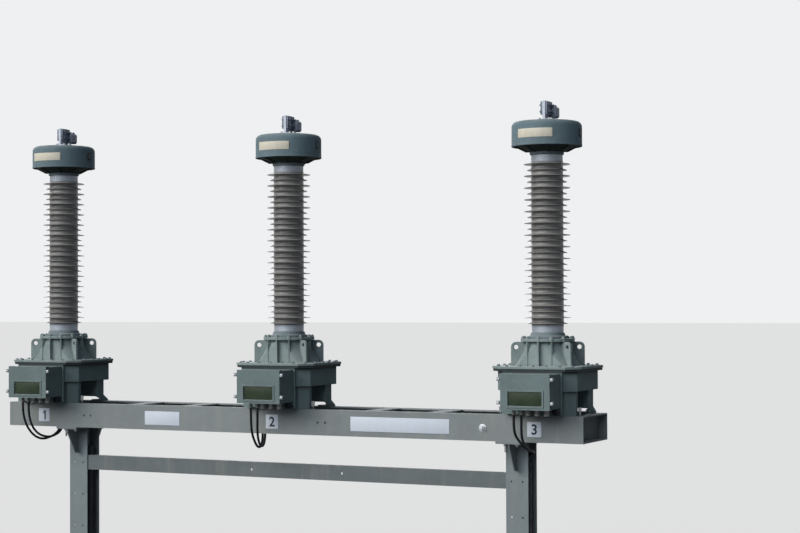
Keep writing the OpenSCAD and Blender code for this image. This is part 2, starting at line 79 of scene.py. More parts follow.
class Slot(Enum):
    """Material slots of the record."""

    FRAME = "galvanized_frame"
    POSTS = "galvanized_posts"
    PAINT = "grey_paint"
    BOX = "box_paint"
    FITTING = "aluminium_fitting"
    CLAMP = "clamp_aluminium"
    PORCELAIN = "porcelain"
    GLAND = "gland_metal"
    CABLE = "cable_jacket"
    PLASTIC = "black_plastic"


class Element(Enum):
    """Parts of a mesh: each name is Blender's select mode, each value the mesh's own list of them."""

    VERT = "verts"
    EDGE = "edges"
    FACE = "faces"


class Way(Enum):
    """Directions that an upright pattern can be turned to, as an angle in degrees and its axis."""

    UP = (0.0, "X")
    DOWN = (180.0, "X")
    FRONT = (90.0, "X")
    BACK = (-90.0, "X")
    RIGHT = (90.0, "Y")
    LEFT = (-90.0, "Y")

    @property
    def turn(self) -> Matrix:
        """Return the turn from upright."""
        return Matrix.Rotation(math.radians(self.value[0]), 4, self.value[1])


class Side(Enum):
    """The two cables of a transformer."""

    LEFT = "left"
    RIGHT = "right"


class Phase(Enum):
    """The three transformers of the row, from left to right."""

    LEFT = 1
    MIDDLE = 2
    RIGHT = 3

    @property
    def axis(self) -> float:
        """Return the transformer's place along the row."""
        return (self.value - 2) * PITCH


# Modelling by hand


def clear() -> None:
    """Leave edit mode and deselect everything."""
    if bpy.context.object and bpy.context.object.mode != "OBJECT":
        bpy.ops.object.mode_set(mode="OBJECT")
    bpy.ops.object.select_all(action="DESELECT")


def activate(piece: Piece) -> None:
    """Select one piece alone and make it active.

    Args:
        piece: The piece.
    """
    clear()
    piece.select_set(True)
    bpy.context.view_layer.objects.active = piece


@contextmanager
def editing(piece: Piece, kind: Element = Element.FACE) -> Iterator[None]:
    """Hold a piece in edit mode.

    Args:
        piece: The piece to shape.
        kind: What the selection works on.

    Returns:
        A context in which the piece is in edit mode.
    """
    activate(piece)
    bpy.ops.object.mode_set(mode="EDIT")
    bpy.ops.mesh.select_mode(type=kind.name)
    yield
    bpy.ops.object.mode_set(mode="OBJECT")


def choose(piece: Piece, kind: Element, test: Callable[..., bool]) -> None:
    """Select the parts of a mesh in edit mode that pass a test, and only those.

    Args:
        piece: The piece in edit mode.
        kind: What is selected.
        test: Says whether an element is taken.
    """
    bpy.ops.mesh.select_all(action="DESELECT")
    for element in getattr(bmesh.from_edit_mesh(piece.data), kind.value):
        if test(element):
            element.select_set(True)
    bmesh.update_edit_mesh(piece.data)


def settle(piece: Piece) -> None:
    """Put a piece's place, turn and scale into its mesh."""
    activate(piece)
    bpy.ops.object.transform_apply(location=True, rotation=True, scale=True)


def block(size: Vec3, centre: Vec3, edge: float = 0.0, segments: int = 2) -> Piece:
    """Make a rectangular block with rounded edges.

    Args:
        size: Its size along x, y and z.
        centre: The place of its middle.
        edge: Width of the rounding.
        segments: Steps of the rounding.

    Returns:
        The block.
    """
    clear()
    bpy.ops.mesh.primitive_cube_add(size=1.0, location=centre)
    piece = bpy.context.object
    piece.scale = size
    settle(piece)
    if edge:
        with editing(piece, Element.EDGE):
            bpy.ops.mesh.select_all(action="SELECT")
            bpy.ops.mesh.bevel(offset=edge, segments=segments, affect="EDGES")
    return piece


def rod(radius: float, length: float, centre: Vec3, way: Way = Way.UP, sides: int = 32,
        edge: float = 0.0) -> Piece:
    """Make a round or many-sided rod with rounded rims.

    Args:
        radius: Radius over its corners.
        length: Length along its axis.
        centre: The place of its middle.
        way: Direction of its axis.
        sides: Number of sides.
        edge: Width of the rounding at both rims.

    Returns:
        The rod.
    """
    clear()
    bpy.ops.mesh.primitive_cylinder_add(vertices=sides, radius=radius, depth=length, location=centre,
                                        rotation=way.turn.to_euler())
    piece = bpy.context.object
    settle(piece)
    if edge:
        with editing(piece):
            choose(piece, Element.FACE, lambda f: len(f.verts) == sides)
            bpy.ops.mesh.bevel(offset=edge, segments=2, affect="EDGES")
    return piece


def turned(profile: Sequence[Point], sides: int = 96, sweep: float = 2 * math.pi,
           start: float = 0.0) -> Piece:
    """Turn a profile about the Z axis.

    Args:
        profile: Points as radius and height, in order.
        sides: Steps round the axis.
        sweep: Angle that is swept.
        start: Angle at which the sweep starts, from +X.

    Returns:
        The turned piece, its faces pointing outwards.
    """
    clear()
    bpy.ops.mesh.primitive_plane_add(size=0.01)
    piece = bpy.context.object
    with editing(piece, Element.VERT):
        bpy.ops.mesh.select_all(action="SELECT")
        bpy.ops.mesh.merge(type="CENTER")
        path = [Vector((radius * math.cos(start), radius * math.sin(start), z)) for radius, z in profile]
        bpy.ops.transform.translate(value=path[0])
        for here, there in zip(path, path[1:]):
            bpy.ops.mesh.extrude_vertices_move(TRANSFORM_OT_translate={"value": there - here})
        bpy.ops.mesh.select_all(action="SELECT")
        bpy.ops.mesh.spin(steps=sides, angle=-sweep, center=(0, 0, 0), axis=(0, 0, 1))
        bpy.ops.mesh.select_all(action="SELECT")
        bpy.ops.mesh.remove_doubles(threshold=0.00001)
        bpy.ops.mesh.normals_make_consistent(inside=False)
    return piece


def arc(centre: Point, radii: Point, first: float, last: float, steps: int) -> list[Point]:
    """Return part of a profile that follows an ellipse.

    Args:
        centre: Its middle, as radius and height.
        radii: Its half axes outwards and upwards.
        first: Angle of the first point in degrees, from outwards to upwards.
        last: Angle of the last point.
        steps: Number of steps between them.

    Returns:
        The points in order.
    """
    angles = [math.radians(first + (last - first) * k / steps) for k in range(steps + 1)]
    return [(centre[0] + radii[0] * math.cos(a), centre[1] + radii[1] * math.sin(a)) for a in angles]


def modify(piece: Piece, kind: str, **settings: object) -> None:
    """Add a modifier and apply it.

    Args:
        piece: The piece.
        kind: The modifier's type.
        settings: Values of its properties.
    """
    activate(piece)
    modifier = piece.modifiers.new(kind.lower(), kind)
    for name, value in settings.items():
        setattr(modifier, name, value)
    bpy.ops.object.modifier_apply(modifier=modifier.name)


def smooth(piece: Piece, angle: float = 35.0, flat: bool = False) -> Piece:
    """Shade a piece smooth except across its sharp edges.

    Args:
        piece: The piece.
        angle: Edges sharper than this many degrees stay sharp.
        flat: Keep the large faces evenly lit up to their rounded edges.

    Returns:
        The piece.
    """
    activate(piece)
    bpy.ops.object.shade_smooth_by_angle(angle=math.radians(angle))
    if flat:
        modify(piece, "WEIGHTED_NORMAL", mode="FACE_AREA", weight=50, keep_sharp=True)
    return piece


def softened(node: str, width: float, segments: int = 2, angle: float = 35.0) -> Piece:
    """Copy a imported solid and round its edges.

    Args:
        node: Name of the solid.
        width: Width of the rounding.
        segments: Steps of the rounding.
        angle: Edges sharper than this many degrees are rounded.

    Returns:
        The copy, a clean mesh of its own.
    """
    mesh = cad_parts[node].data.copy()
    piece = bpy.data.objects.new("copy_of_" + node, mesh)
    bpy.context.collection.objects.link(piece)
    mesh.materials.clear()
    with editing(piece, Element.VERT):
        bpy.ops.mesh.select_all(action="SELECT")
        bpy.ops.mesh.remove_doubles(threshold=0.00002)
        bpy.ops.mesh.customdata_custom_splitnormals_clear()
        bpy.ops.mesh.dissolve_limited(angle_limit=math.radians(0.5))
        bpy.ops.mesh.normals_make_consistent(inside=False)
    modify(piece, "BEVEL", width=width, segments=segments, limit_method="ANGLE",
           angle_limit=math.radians(angle), use_clamp_overlap=True, harden_normals=False)
    return piece


def duplicate(piece: Piece, move: Matrix) -> Piece:
    """Copy a piece.

    Args:
        piece: The piece.
        move: What moves the copy's mesh.

    Returns:
        The copy, with a mesh of its own.
    """
    twin = piece.copy()
    twin.data = piece.data.copy()
    twin.data.transform(move)
    bpy.context.collection.objects.link(twin)
    return twin


def joined(pieces: Sequence[Piece]) -> Piece:
    """Join pieces.

    Args:
        pieces: The pieces, which are used up except the first.

    Returns:
        The first piece with the meshes of all.
    """
    clear()
    for piece in pieces:
        piece.select_set(True)
    bpy.context.view_layer.objects.active = pieces[0]
    if len(pieces) > 1:
        bpy.ops.object.join()
    return pieces[0]


def discard(piece: Piece) -> None:
    """Remove a pattern piece that isn't shown."""
    bpy.data.objects.remove(piece, do_unlink=True)


def at(place: Vec3, way: Way, turn: float) -> Matrix:
    """Return the matrix that stands an upright pattern at a place, turned about its own axis first."""
    return Matrix.Translation(place) @ way.turn @ Matrix.Rotation(math.radians(turn), 4, "Z")


def repeated(pattern: Piece, places: Sequence[Vec3], way: Way = Way.UP, turn: float = 0.0,
             step: float = 0.0) -> Piece:
    """Copy a pattern to every place, join the copies and remove the pattern.

    Args:
        pattern: The pattern, standing on z = 0.
        places: Where the copies' feet go.
        way: Direction their tops point to.
        turn: Turn of the first copy about its own axis, in degrees.
        step: How much further each next copy is turned.

    Returns:
        The copies as one piece.
    """
    result = joined([duplicate(pattern, at(place, way, turn + step * k)) for k, place in enumerate(places)])
    discard(pattern)
    return result


@dataclass(frozen=True)
class HexBolt:
    """A hexagon bolt or stud with nut and washer, standing on z = 0.

    All its sizes are shares of the thread's diameter, as on common bolts. So is the stub, the length of the
    thread's end over the nut.
    """

    thread: float
    stub: float = 0.3

    def build(self) -> Piece:
        """Make the bolt.

        Returns:
            Its pattern, the top pointing up.
        """
        d = self.thread
        washer = rod(1.12 * d, 0.18 * d, (0, 0, 0.09 * d), sides=24, edge=0.03 * d)
        nut = rod(0.93 * d, 0.72 * d, (0, 0, 0.54 * d), sides=6)
        with editing(nut):
            choose(nut, Element.FACE, lambda f: f.normal.z > 0.9)
            bpy.ops.mesh.bevel(offset=0.07 * d, segments=1, affect="EDGES")
            choose(nut, Element.FACE, lambda f: f.normal.z > 0.9 and len(f.verts) == 6)
            bpy.ops.mesh.inset(thickness=0.12 * d, depth=0.0)
        parts = [washer, nut]
        if self.stub:
            parts.append(rod(0.48 * d, self.stub * d, (0, 0, (0.9 + self.stub / 2) * d), sides=16,
                             edge=0.06 * d))
        return smooth(joined(parts), 30.0)


# Shader nodes


class Tree:
    """Short ways to find, add and join nodes in a tree."""

    def __init__(self, nodes: bpy.types.NodeTree) -> None:
        """Keep Blender's own tree."""
        self.own = nodes

    def find(self, name: str) -> bpy.types.Node:
        """Return a node that the tree starts with."""
        return self.own.nodes[name]

    def put(self, value: Value, socket: Socket) -> None:
        """Join a socket to another one or set its value.

        Args:
            value: The other socket, a number, a vector or a colour, which gets its alpha here.
            socket: The input socket.
        """
        if isinstance(value, bpy.types.NodeSocket):
            self.own.links.new(value, socket)
        else:
            socket.default_value = (*value, 1.0) if socket.type == "RGBA" else value

    def add(self, kind: str, inputs: dict[str | int, Value] | None = None,
            **settings: object) -> bpy.types.Node:
        """Add a node.

        Args:
            kind: The node's type without the ShaderNode prefix.
            inputs: Values or sockets for its inputs, by name or number.
            settings: Values of its properties.

        Returns:
            The node.
        """
        node = self.own.nodes.new(kind if kind.startswith("Node") else "ShaderNode" + kind)
        for name, value in settings.items():
            setattr(node, name, value)
        for name, value in (inputs or {}).items():
            self.put(value, node.inputs[name])
        return node

    def place(self) -> Socket:
        """Return the object coordinates."""
        return self.add("TexCoord").outputs["Object"]

    def height(self, vector: Socket) -> Socket:
        """Return how far a vector goes up."""
        return self.add("SeparateXYZ", {0: vector}).outputs[2]

    def math(self, work: str, a: Value, b: Value = 0.0, clamp: bool = False) -> Socket:
        """Return the result of a sum on two values or sockets."""
        return self.add("Math", {0: a, 1: b}, operation=work, use_clamp=clamp).outputs[0]

    def noise(self, place: Socket, scale: Value, detail: float, rough: float) -> Socket:
        """Return a noise value over the surface."""
        return self.add("TexNoise", {"Vector": place, "Scale": scale, "Detail": detail,
                                     "Roughness": rough}).outputs[0]

    def ramp(self, value: Socket, low: Value, high: Value) -> Socket:
        """Return a value stretched from low..high to 0..1 with soft ends."""
        return self.add("MapRange", {"Value": value, "From Min": low, "From Max": high},
                        interpolation_type="SMOOTHSTEP").outputs[0]

    def blend(self, mask: Socket, low: float, high: float) -> Socket:
        """Return a number that goes from low to high with a mask."""
        return self.add("MapRange", {"Value": mask, "To Min": low, "To Max": high}).outputs[0]

    def tint(self, mask: Socket, under: Value, over: Value) -> Socket:
        """Return a colour that goes from one to another with a mask."""
        return self.add("Mix", {0: mask, 6: under, 7: over}, data_type="RGBA").outputs[2]


@dataclass(frozen=True)
class Effect:
    """A surface effect that several finishes share, built once as a node group of number sockets."""

    name: str
    inputs: dict[str, float]
    draw: Callable[[Tree, Sockets], Sockets]

    def group(self) -> bpy.types.NodeTree:
        """Build the node group the first time it is asked for.

        Returns:
            The node group.
        """
        group = bpy.data.node_groups.get(self.name)
        if group:
            return group
        group = bpy.data.node_groups.new(self.name, "ShaderNodeTree")
        for key, value in self.inputs.items():
            socket = group.interface.new_socket(key, in_out="INPUT", socket_type="NodeSocketFloat")
            socket.default_value = value
        tree = Tree(group)
        entry = tree.add("NodeGroupInput").outputs
        results = self.draw(tree, {key: entry[key] for key in self.inputs})
        for key in results:
            group.interface.new_socket(key, in_out="OUTPUT", socket_type="NodeSocketFloat")
        tree.add("NodeGroupOutput", results)
        return group


def draw_mottle(tree: Tree, given: Sockets) -> Sockets:
    """Draw cloudy patches of two sizes.

    Args:
        tree: The group's tree.
        given: The group's inputs by name.

    Returns:
        The group's outputs by name.
    """
    place = tree.place()
    large = tree.noise(place, given["Scale"], 5.0, 0.62)
    small = tree.noise(place, tree.math("MULTIPLY", given["Scale"], 7.3), 3.0, 0.6)
    both = tree.math("ADD", tree.math("MULTIPLY", large, 0.72), tree.math("MULTIPLY", small, 0.28))
    return {"Mask": tree.ramp(both, given["Low"], given["High"])}


def draw_streaks(tree: Tree, given: Sockets) -> Sockets:
    """Draw the long streaks that rain leaves on upright faces.

    Args:
        tree: The group's tree.
        given: The group's inputs by name.

    Returns:
        The group's outputs by name.
    """
    drawn = tree.add("Mapping", {"Vector": tree.place(), "Scale": (1.0, 1.0, 0.07)}).outputs[0]
    lines = tree.ramp(tree.noise(drawn, given["Scale"], 4.0, 0.55), given["Low"], given["High"])
    up = tree.height(tree.add("NewGeometry").outputs["Normal"])
    upright = tree.math("SUBTRACT", 1.0, tree.math("ABSOLUTE", up), True)
    return {"Mask": tree.math("MULTIPLY", lines, upright)}


def draw_dust(tree: Tree, given: Sockets) -> Sockets:
    """Draw settled dust and painted top light: a lighter tone on faces that look up.

    Args:
        tree: The group's tree.
        given: The group's inputs by name.

    Returns:
        The group's outputs by name.
    """
    lying = tree.ramp(tree.height(tree.add("NewGeometry").outputs["Normal"]), 0.35, 0.95)
    patches = tree.ramp(tree.noise(tree.place(), given["Scale"], 5.0, 0.6), given["Low"], given["High"])
    return {"Mask": tree.math("MULTIPLY", lying, patches)}


def draw_wear(tree: Tree, given: Sockets) -> Sockets:
    """Draw rubbed edges, and the darkening in corners, which is dirt and painted shade.

    Args:
        tree: The group's tree.
        given: The group's inputs by name.

    Returns:
        The group's outputs by name.
    """
    shadows = {}
    for reach, inside in (("Width", True), ("Reach", False)):
        node = tree.add("AmbientOcclusion", {"Distance": given[reach]}, samples=6, inside=inside,
                        only_local=True)
        shadows[reach] = tree.math("SUBTRACT", 1.0, node.outputs["AO"])
    broken = tree.ramp(tree.noise(tree.place(), given["Scale"], 4.0, 0.65), 0.36, 0.6)
    edges = tree.math("MULTIPLY", tree.ramp(shadows["Width"], 0.05, 0.5), broken)
    return {"Edges": edges, "Corners": tree.ramp(shadows["Reach"], 0.12, 0.75)}


def draw_spangle(tree: Tree, given: Sockets) -> Sockets:
    """Draw the crystal pattern of hot-dip zinc."""
    cells = tree.add("TexVoronoi", {"Vector": tree.place(), "Scale": given["Scale"]}, feature="F1").outputs
    return {"Value": tree.add("SeparateColor", {0: cells["Color"]}).outputs[0], "Height": cells["Distance"]}


def draw_grain(tree: Tree, given: Sockets) -> Sockets:
    """Draw the fine grain and the soft waves of a cast or sprayed skin.

    Args:
        tree: The group's tree.
        given: The group's inputs by name.

    Returns:
        The group's outputs by name.
    """
    place = tree.place()
    fine = tree.math("MULTIPLY", tree.noise(place, given["Scale"], 2.0, 0.5), 0.45)
    waves = tree.math("MULTIPLY", tree.noise(place, given["Waves"], 3.0, 0.5), 0.55)
    return {"Height": tree.math("ADD", fine, waves)}


MOTTLE = Effect("cloudy_mottle", {"Scale": 6.0, "Low": 0.35, "High": 0.65}, draw_mottle)
STREAKS = Effect("rain_streaks", {"Scale": 20.0, "Low": 0.5, "High": 0.75}, draw_streaks)
DUST_AND_TOP_LIGHT = Effect("settled_dust", {"Scale": 14.0, "Low": 0.3, "High": 0.7}, draw_dust)
WEAR_AND_SHADE = Effect("edge_wear", {"Scale": 45.0, "Width": 0.005, "Reach": 0.03}, draw_wear)
SPANGLE = Effect("zinc_spangle", {"Scale": 70.0}, draw_spangle)
GRAIN = Effect("skin_grain", {"Scale": 300.0, "Waves": 25.0}, draw_grain)


class Recipe:
    """One material under construction: its tree, its shader and its colour so far."""

    def __init__(self, name: str, colour: Colour) -> None:
        """Start a material of one even colour.

        Args:
            name: The material's name.
            colour: The colour that the layers go on.
        """
        self.material = bpy.data.materials.new(name)
        self.material.use_nodes = True
        self.tree = Tree(self.material.node_tree)
        self.shader = self.tree.find("Principled BSDF")
        self.colour: Value = colour

    def effect(self, effect: Effect, output: str = "Mask", **inputs: float) -> Socket:
        """Place a shared effect with values of its own and return one of its outputs."""
        return self.tree.add("Group", inputs, node_tree=effect.group()).outputs[output]

    def lay(self, mask: Socket, share: float, colour: Colour) -> None:
        """Lay a share of another colour over the colour so far, where the mask is."""
        self.colour = self.tree.tint(self.tree.math("MULTIPLY", mask, share), self.colour, colour)

    def done(self, relief: Socket, depth: float, **values: Value) -> bpy.types.Material:
        """Join colour, relief and the other values to the shader.

        Args:
            relief: Height of the relief, from 0 to 1.
            depth: The relief's real depth.
            values: The shader's other values or sockets; an underscore stands for a blank.

        Returns:
            The material.
        """
        values["Base_Color"] = self.colour
        values["Normal"] = self.tree.add("Bump", {"Height": relief, "Distance": depth}).outputs[0]
        for key, value in values.items():
            self.tree.put(value, self.shader.inputs[key.replace("_", " ")])
        return self.material


# Finishes


def shade(colour: Colour, factor: float) -> Colour:
    """Return a colour made lighter or darker."""
    return (colour[0] * factor, colour[1] * factor, colour[2] * factor)


@dataclass(frozen=True)
class Paint:
    """Outdoor enamel that has chalked: streaks, worn edges, dust with painted top light, corner dirt with
    painted shade.

    The painted shadow level, where one is given, is the height over the ground from which the paint is
    painted dark, as a painted shadow under the foot of the casting.
    """

    name: str
    colour: Colour
    rough: float = 0.6
    streak: float = 0.25
    dusty: float = 0.45
    chips: float = 0.3
    texture: float = 0.0004
    grain: float = 260.0
    dust: Colour = (0.34, 0.34, 0.31)
    primer: Colour = (0.42, 0.43, 0.42)
    dirt: Colour = (0.04, 0.045, 0.042)
    grime: float = 0.5
    grime_reach: float = 0.03
    grime_level: float | None = None
    grime_edge: float = 0.012
    covered: Colour = (0.020, 0.025, 0.026)

    def build(self) -> bpy.types.Material:
        """Mix the material.

        Returns:
            The material.
        """
        mix = Recipe(self.name, self.colour)
        clouds = mix.effect(MOTTLE, Scale=3.2, Low=0.36, High=0.64)
        fine = mix.effect(MOTTLE, Scale=24.0, Low=0.3, High=0.7)
        mix.colour = mix.tree.tint(clouds, shade(self.colour, 0.9), shade(self.colour, 1.1))
        mix.lay(fine, 0.22, shade(self.colour, 1.2))
        mix.lay(mix.effect(STREAKS, Scale=16.0, Low=0.48, High=0.78), self.streak, shade(self.colour, 0.62))
        # Dirt and painted shade: darker where corners hem the surface in.
        mix.lay(mix.effect(WEAR_AND_SHADE, "Corners", Reach=self.grime_reach), self.grime, self.dirt)
        mix.lay(mix.effect(WEAR_AND_SHADE, "Edges"), self.chips, self.primer)
        # Dust and painted top light: lighter on faces that look up.
        mix.lay(mix.effect(DUST_AND_TOP_LIGHT, Scale=11.0, Low=0.28, High=0.7), self.dusty, self.dust)
        # Painted shadow: from the painted shadow level upwards the paint is made dark, under the casting's
        # foot.
        if self.grime_level:
            height = mix.tree.height(mix.tree.place())
            above = mix.tree.ramp(height, self.grime_level - self.grime_edge, self.grime_level)
            mix.lay(above, 0.88, self.covered)
        return mix.done(mix.effect(GRAIN, "Height", Scale=self.grain, Waves=22.0), self.texture,
                        Roughness=mix.tree.blend(fine, self.rough - 0.07, self.rough + 0.12),
                        Specular_IOR_Level=0.05)


@dataclass(frozen=True)
class Galvanised:
    """Hot-dip zinc that has weathered to a dull grey with a faint crystal pattern."""

    name: str
    colour: Colour
    metal: float = 0.06
    rough: float = 0.66
    stain: Colour = (0.29, 0.27, 0.23)
    dirt: Colour = (0.07, 0.065, 0.055)
    dust: Colour = (0.36, 0.35, 0.31)
    crystals: float = 85.0

    def build(self) -> bpy.types.Material:
        """Mix the material.

        Returns:
            The material.
        """
        mix = Recipe(self.name, self.colour)
        clouds = mix.effect(MOTTLE, Scale=1.9, Low=0.36, High=0.66)
        spangle = mix.effect(SPANGLE, "Value", Scale=self.crystals)
        mix.colour = mix.tree.tint(clouds, shade(self.colour, 0.9), shade(self.colour, 1.08))
        mix.lay(spangle, 0.22, shade(self.colour, 1.22))
        mix.lay(mix.effect(MOTTLE, Scale=17.0, Low=0.3, High=0.7), 0.25, shade(self.colour, 0.8))
        mix.lay(mix.effect(STREAKS, Scale=13.0, Low=0.5, High=0.8), 0.22, self.stain)
        # Dirt and painted shade in corners.
        mix.lay(mix.effect(WEAR_AND_SHADE, "Corners"), 0.55, self.dirt)
        mix.lay(mix.effect(WEAR_AND_SHADE, "Edges"), 0.35, shade(self.colour, 1.35))
        # Dust and painted top light on faces that look up.
        mix.lay(mix.effect(DUST_AND_TOP_LIGHT, Scale=7.0, Low=0.3, High=0.72), 0.4, self.dust)
        return mix.done(mix.effect(SPANGLE, "Height", Scale=self.crystals), 0.00025, Metallic=self.metal,
                        Roughness=mix.tree.blend(spangle, self.rough - 0.1, self.rough + 0.12),
                        Specular_IOR_Level=0.06)


@dataclass(frozen=True)
class Glaze:
    """Porcelain glaze with a soft shine, faint streaks, and dust and painted top light on the sheds."""

    name: str
    colour: Colour
    dust: Colour = (0.40, 0.37, 0.33)

    def build(self) -> bpy.types.Material:
        """Mix the material.

        Returns:
            The material.
        """
        mix = Recipe(self.name, self.colour)
        clouds = mix.effect(MOTTLE, Scale=5.0, Low=0.36, High=0.64)
        specks = mix.effect(MOTTLE, Scale=60.0, Low=0.4, High=0.66)
        mix.colour = mix.tree.tint(clouds, shade(self.colour, 0.92), shade(self.colour, 1.08))
        mix.lay(specks, 0.12, shade(self.colour, 0.7))
        mix.lay(mix.effect(STREAKS, Scale=30.0, Low=0.45, High=0.8), 0.25, shade(self.colour, 0.75))
        # Dust and painted top light on the sheds' upper faces.
        mix.lay(mix.effect(DUST_AND_TOP_LIGHT, Scale=18.0, Low=0.2, High=0.65), 0.25, self.dust)
        return mix.done(mix.effect(GRAIN, "Height", Scale=120.0, Waves=14.0), 0.0003,
                        Roughness=mix.tree.blend(specks, 0.36, 0.52), Specular_IOR_Level=0.3,
                        Coat_Weight=mix.tree.blend(clouds, 0.1, 0.22), Coat_Roughness=0.18)


@dataclass(frozen=True)
class CastMetal:
    """Bare cast or plated metal: dull patches, fine grain, dust and painted top light, corner dirt and
    painted shade.
    """

    name: str
    colour: Colour
    rough: float = 0.5
    metal: float = 0.35
    texture: float = 0.0003
    patina: float = 0.45
    dirt: Colour = (0.06, 0.058, 0.05)
    dust: Colour = (0.36, 0.35, 0.32)

    def build(self) -> bpy.types.Material:
        """Mix the material.

        Returns:
            The material.
        """
        mix = Recipe(self.name, self.colour)
        fine = mix.effect(MOTTLE, Scale=70.0, Low=0.3, High=0.7)
        mix.lay(mix.effect(MOTTLE, Scale=9.0, Low=0.34, High=0.66), self.patina, shade(self.colour, 0.62))
        mix.lay(fine, 0.25, shade(self.colour, 1.18))
        # Dirt and painted shade in corners.
        mix.lay(mix.effect(WEAR_AND_SHADE, "Corners"), 0.6, self.dirt)
        # Dust and painted top light on faces that look up.
        mix.lay(mix.effect(DUST_AND_TOP_LIGHT, Scale=20.0, Low=0.3, High=0.7), 0.35, self.dust)
        return mix.done(mix.effect(GRAIN, "Height", Scale=420.0, Waves=60.0), self.texture,
                        Metallic=self.metal,
                        Roughness=mix.tree.blend(fine, self.rough - 0.08, self.rough + 0.16))


@dataclass(frozen=True)
class Compound:
    """Black rubber or plastic, greyed by weather."""

    name: str
    colour: Colour
    rough: float = 0.5
    grey: Colour = (0.024, 0.028, 0.035)
    dust: Colour = (0.100, 0.112, 0.125)

    def build(self) -> bpy.types.Material:
        """Mix the material.

        Returns:
            The material.
        """
        mix = Recipe(self.name, self.colour)
        clouds = mix.effect(MOTTLE, Scale=12.0, Low=0.36, High=0.66)
        mix.lay(clouds, 0.3, self.grey)
        # Dust and painted top light on faces that look up.
        mix.lay(mix.effect(DUST_AND_TOP_LIGHT, Scale=25.0, Low=0.3, High=0.7), 0.2, self.dust)
        return mix.done(mix.effect(GRAIN, "Height", Scale=500.0, Waves=90.0), 0.0002,
                        Roughness=mix.tree.blend(clouds, self.rough - 0.08, self.rough + 0.15),
                        Specular_IOR_Level=0.07)


@dataclass(frozen=True)
class Plate:
    """Enamelled sign plate, a little yellowed and stained by rain."""

    name: str
    colour: Colour
    stain: Colour
    amount: float = 0.35

    def build(self) -> bpy.types.Material:
        """Mix the material.

        Returns:
            The material.
        """
        mix = Recipe(self.name, self.colour)
        clouds = mix.effect(MOTTLE, Scale=16.0, Low=0.36, High=0.68)
        mix.lay(clouds, self.amount, self.stain)
        mix.lay(mix.effect(STREAKS, Scale=45.0, Low=0.45, High=0.75), self.amount, self.stain)
        return mix.done(mix.effect(GRAIN, "Height", Scale=200.0, Waves=30.0), 0.0001,
                        Roughness=mix.tree.blend(clouds, 0.38, 0.52), Specular_IOR_Level=0.12)


@dataclass(frozen=True)
class Pane:
    """Pane with a film of dirt."""

    name: str
    colour: Colour
    film: Colour

    def build(self) -> bpy.types.Material:
        """Mix the material.

        Returns:
            The material.
        """
        mix = Recipe(self.name, self.colour)
        clouds = mix.effect(MOTTLE, Scale=7.0, Low=0.32, High=0.7)
        mix.colour = mix.tree.tint(clouds, self.colour, self.film)
        mix.lay(mix.effect(STREAKS, Scale=35.0, Low=0.42, High=0.8), 0.35, shade(self.film, 1.3))
        return mix.done(mix.effect(GRAIN, "Height", Scale=60.0, Waves=8.0), 0.0001,
                        Roughness=mix.tree.blend(clouds, 0.3, 0.5), Specular_IOR_Level=0.12)


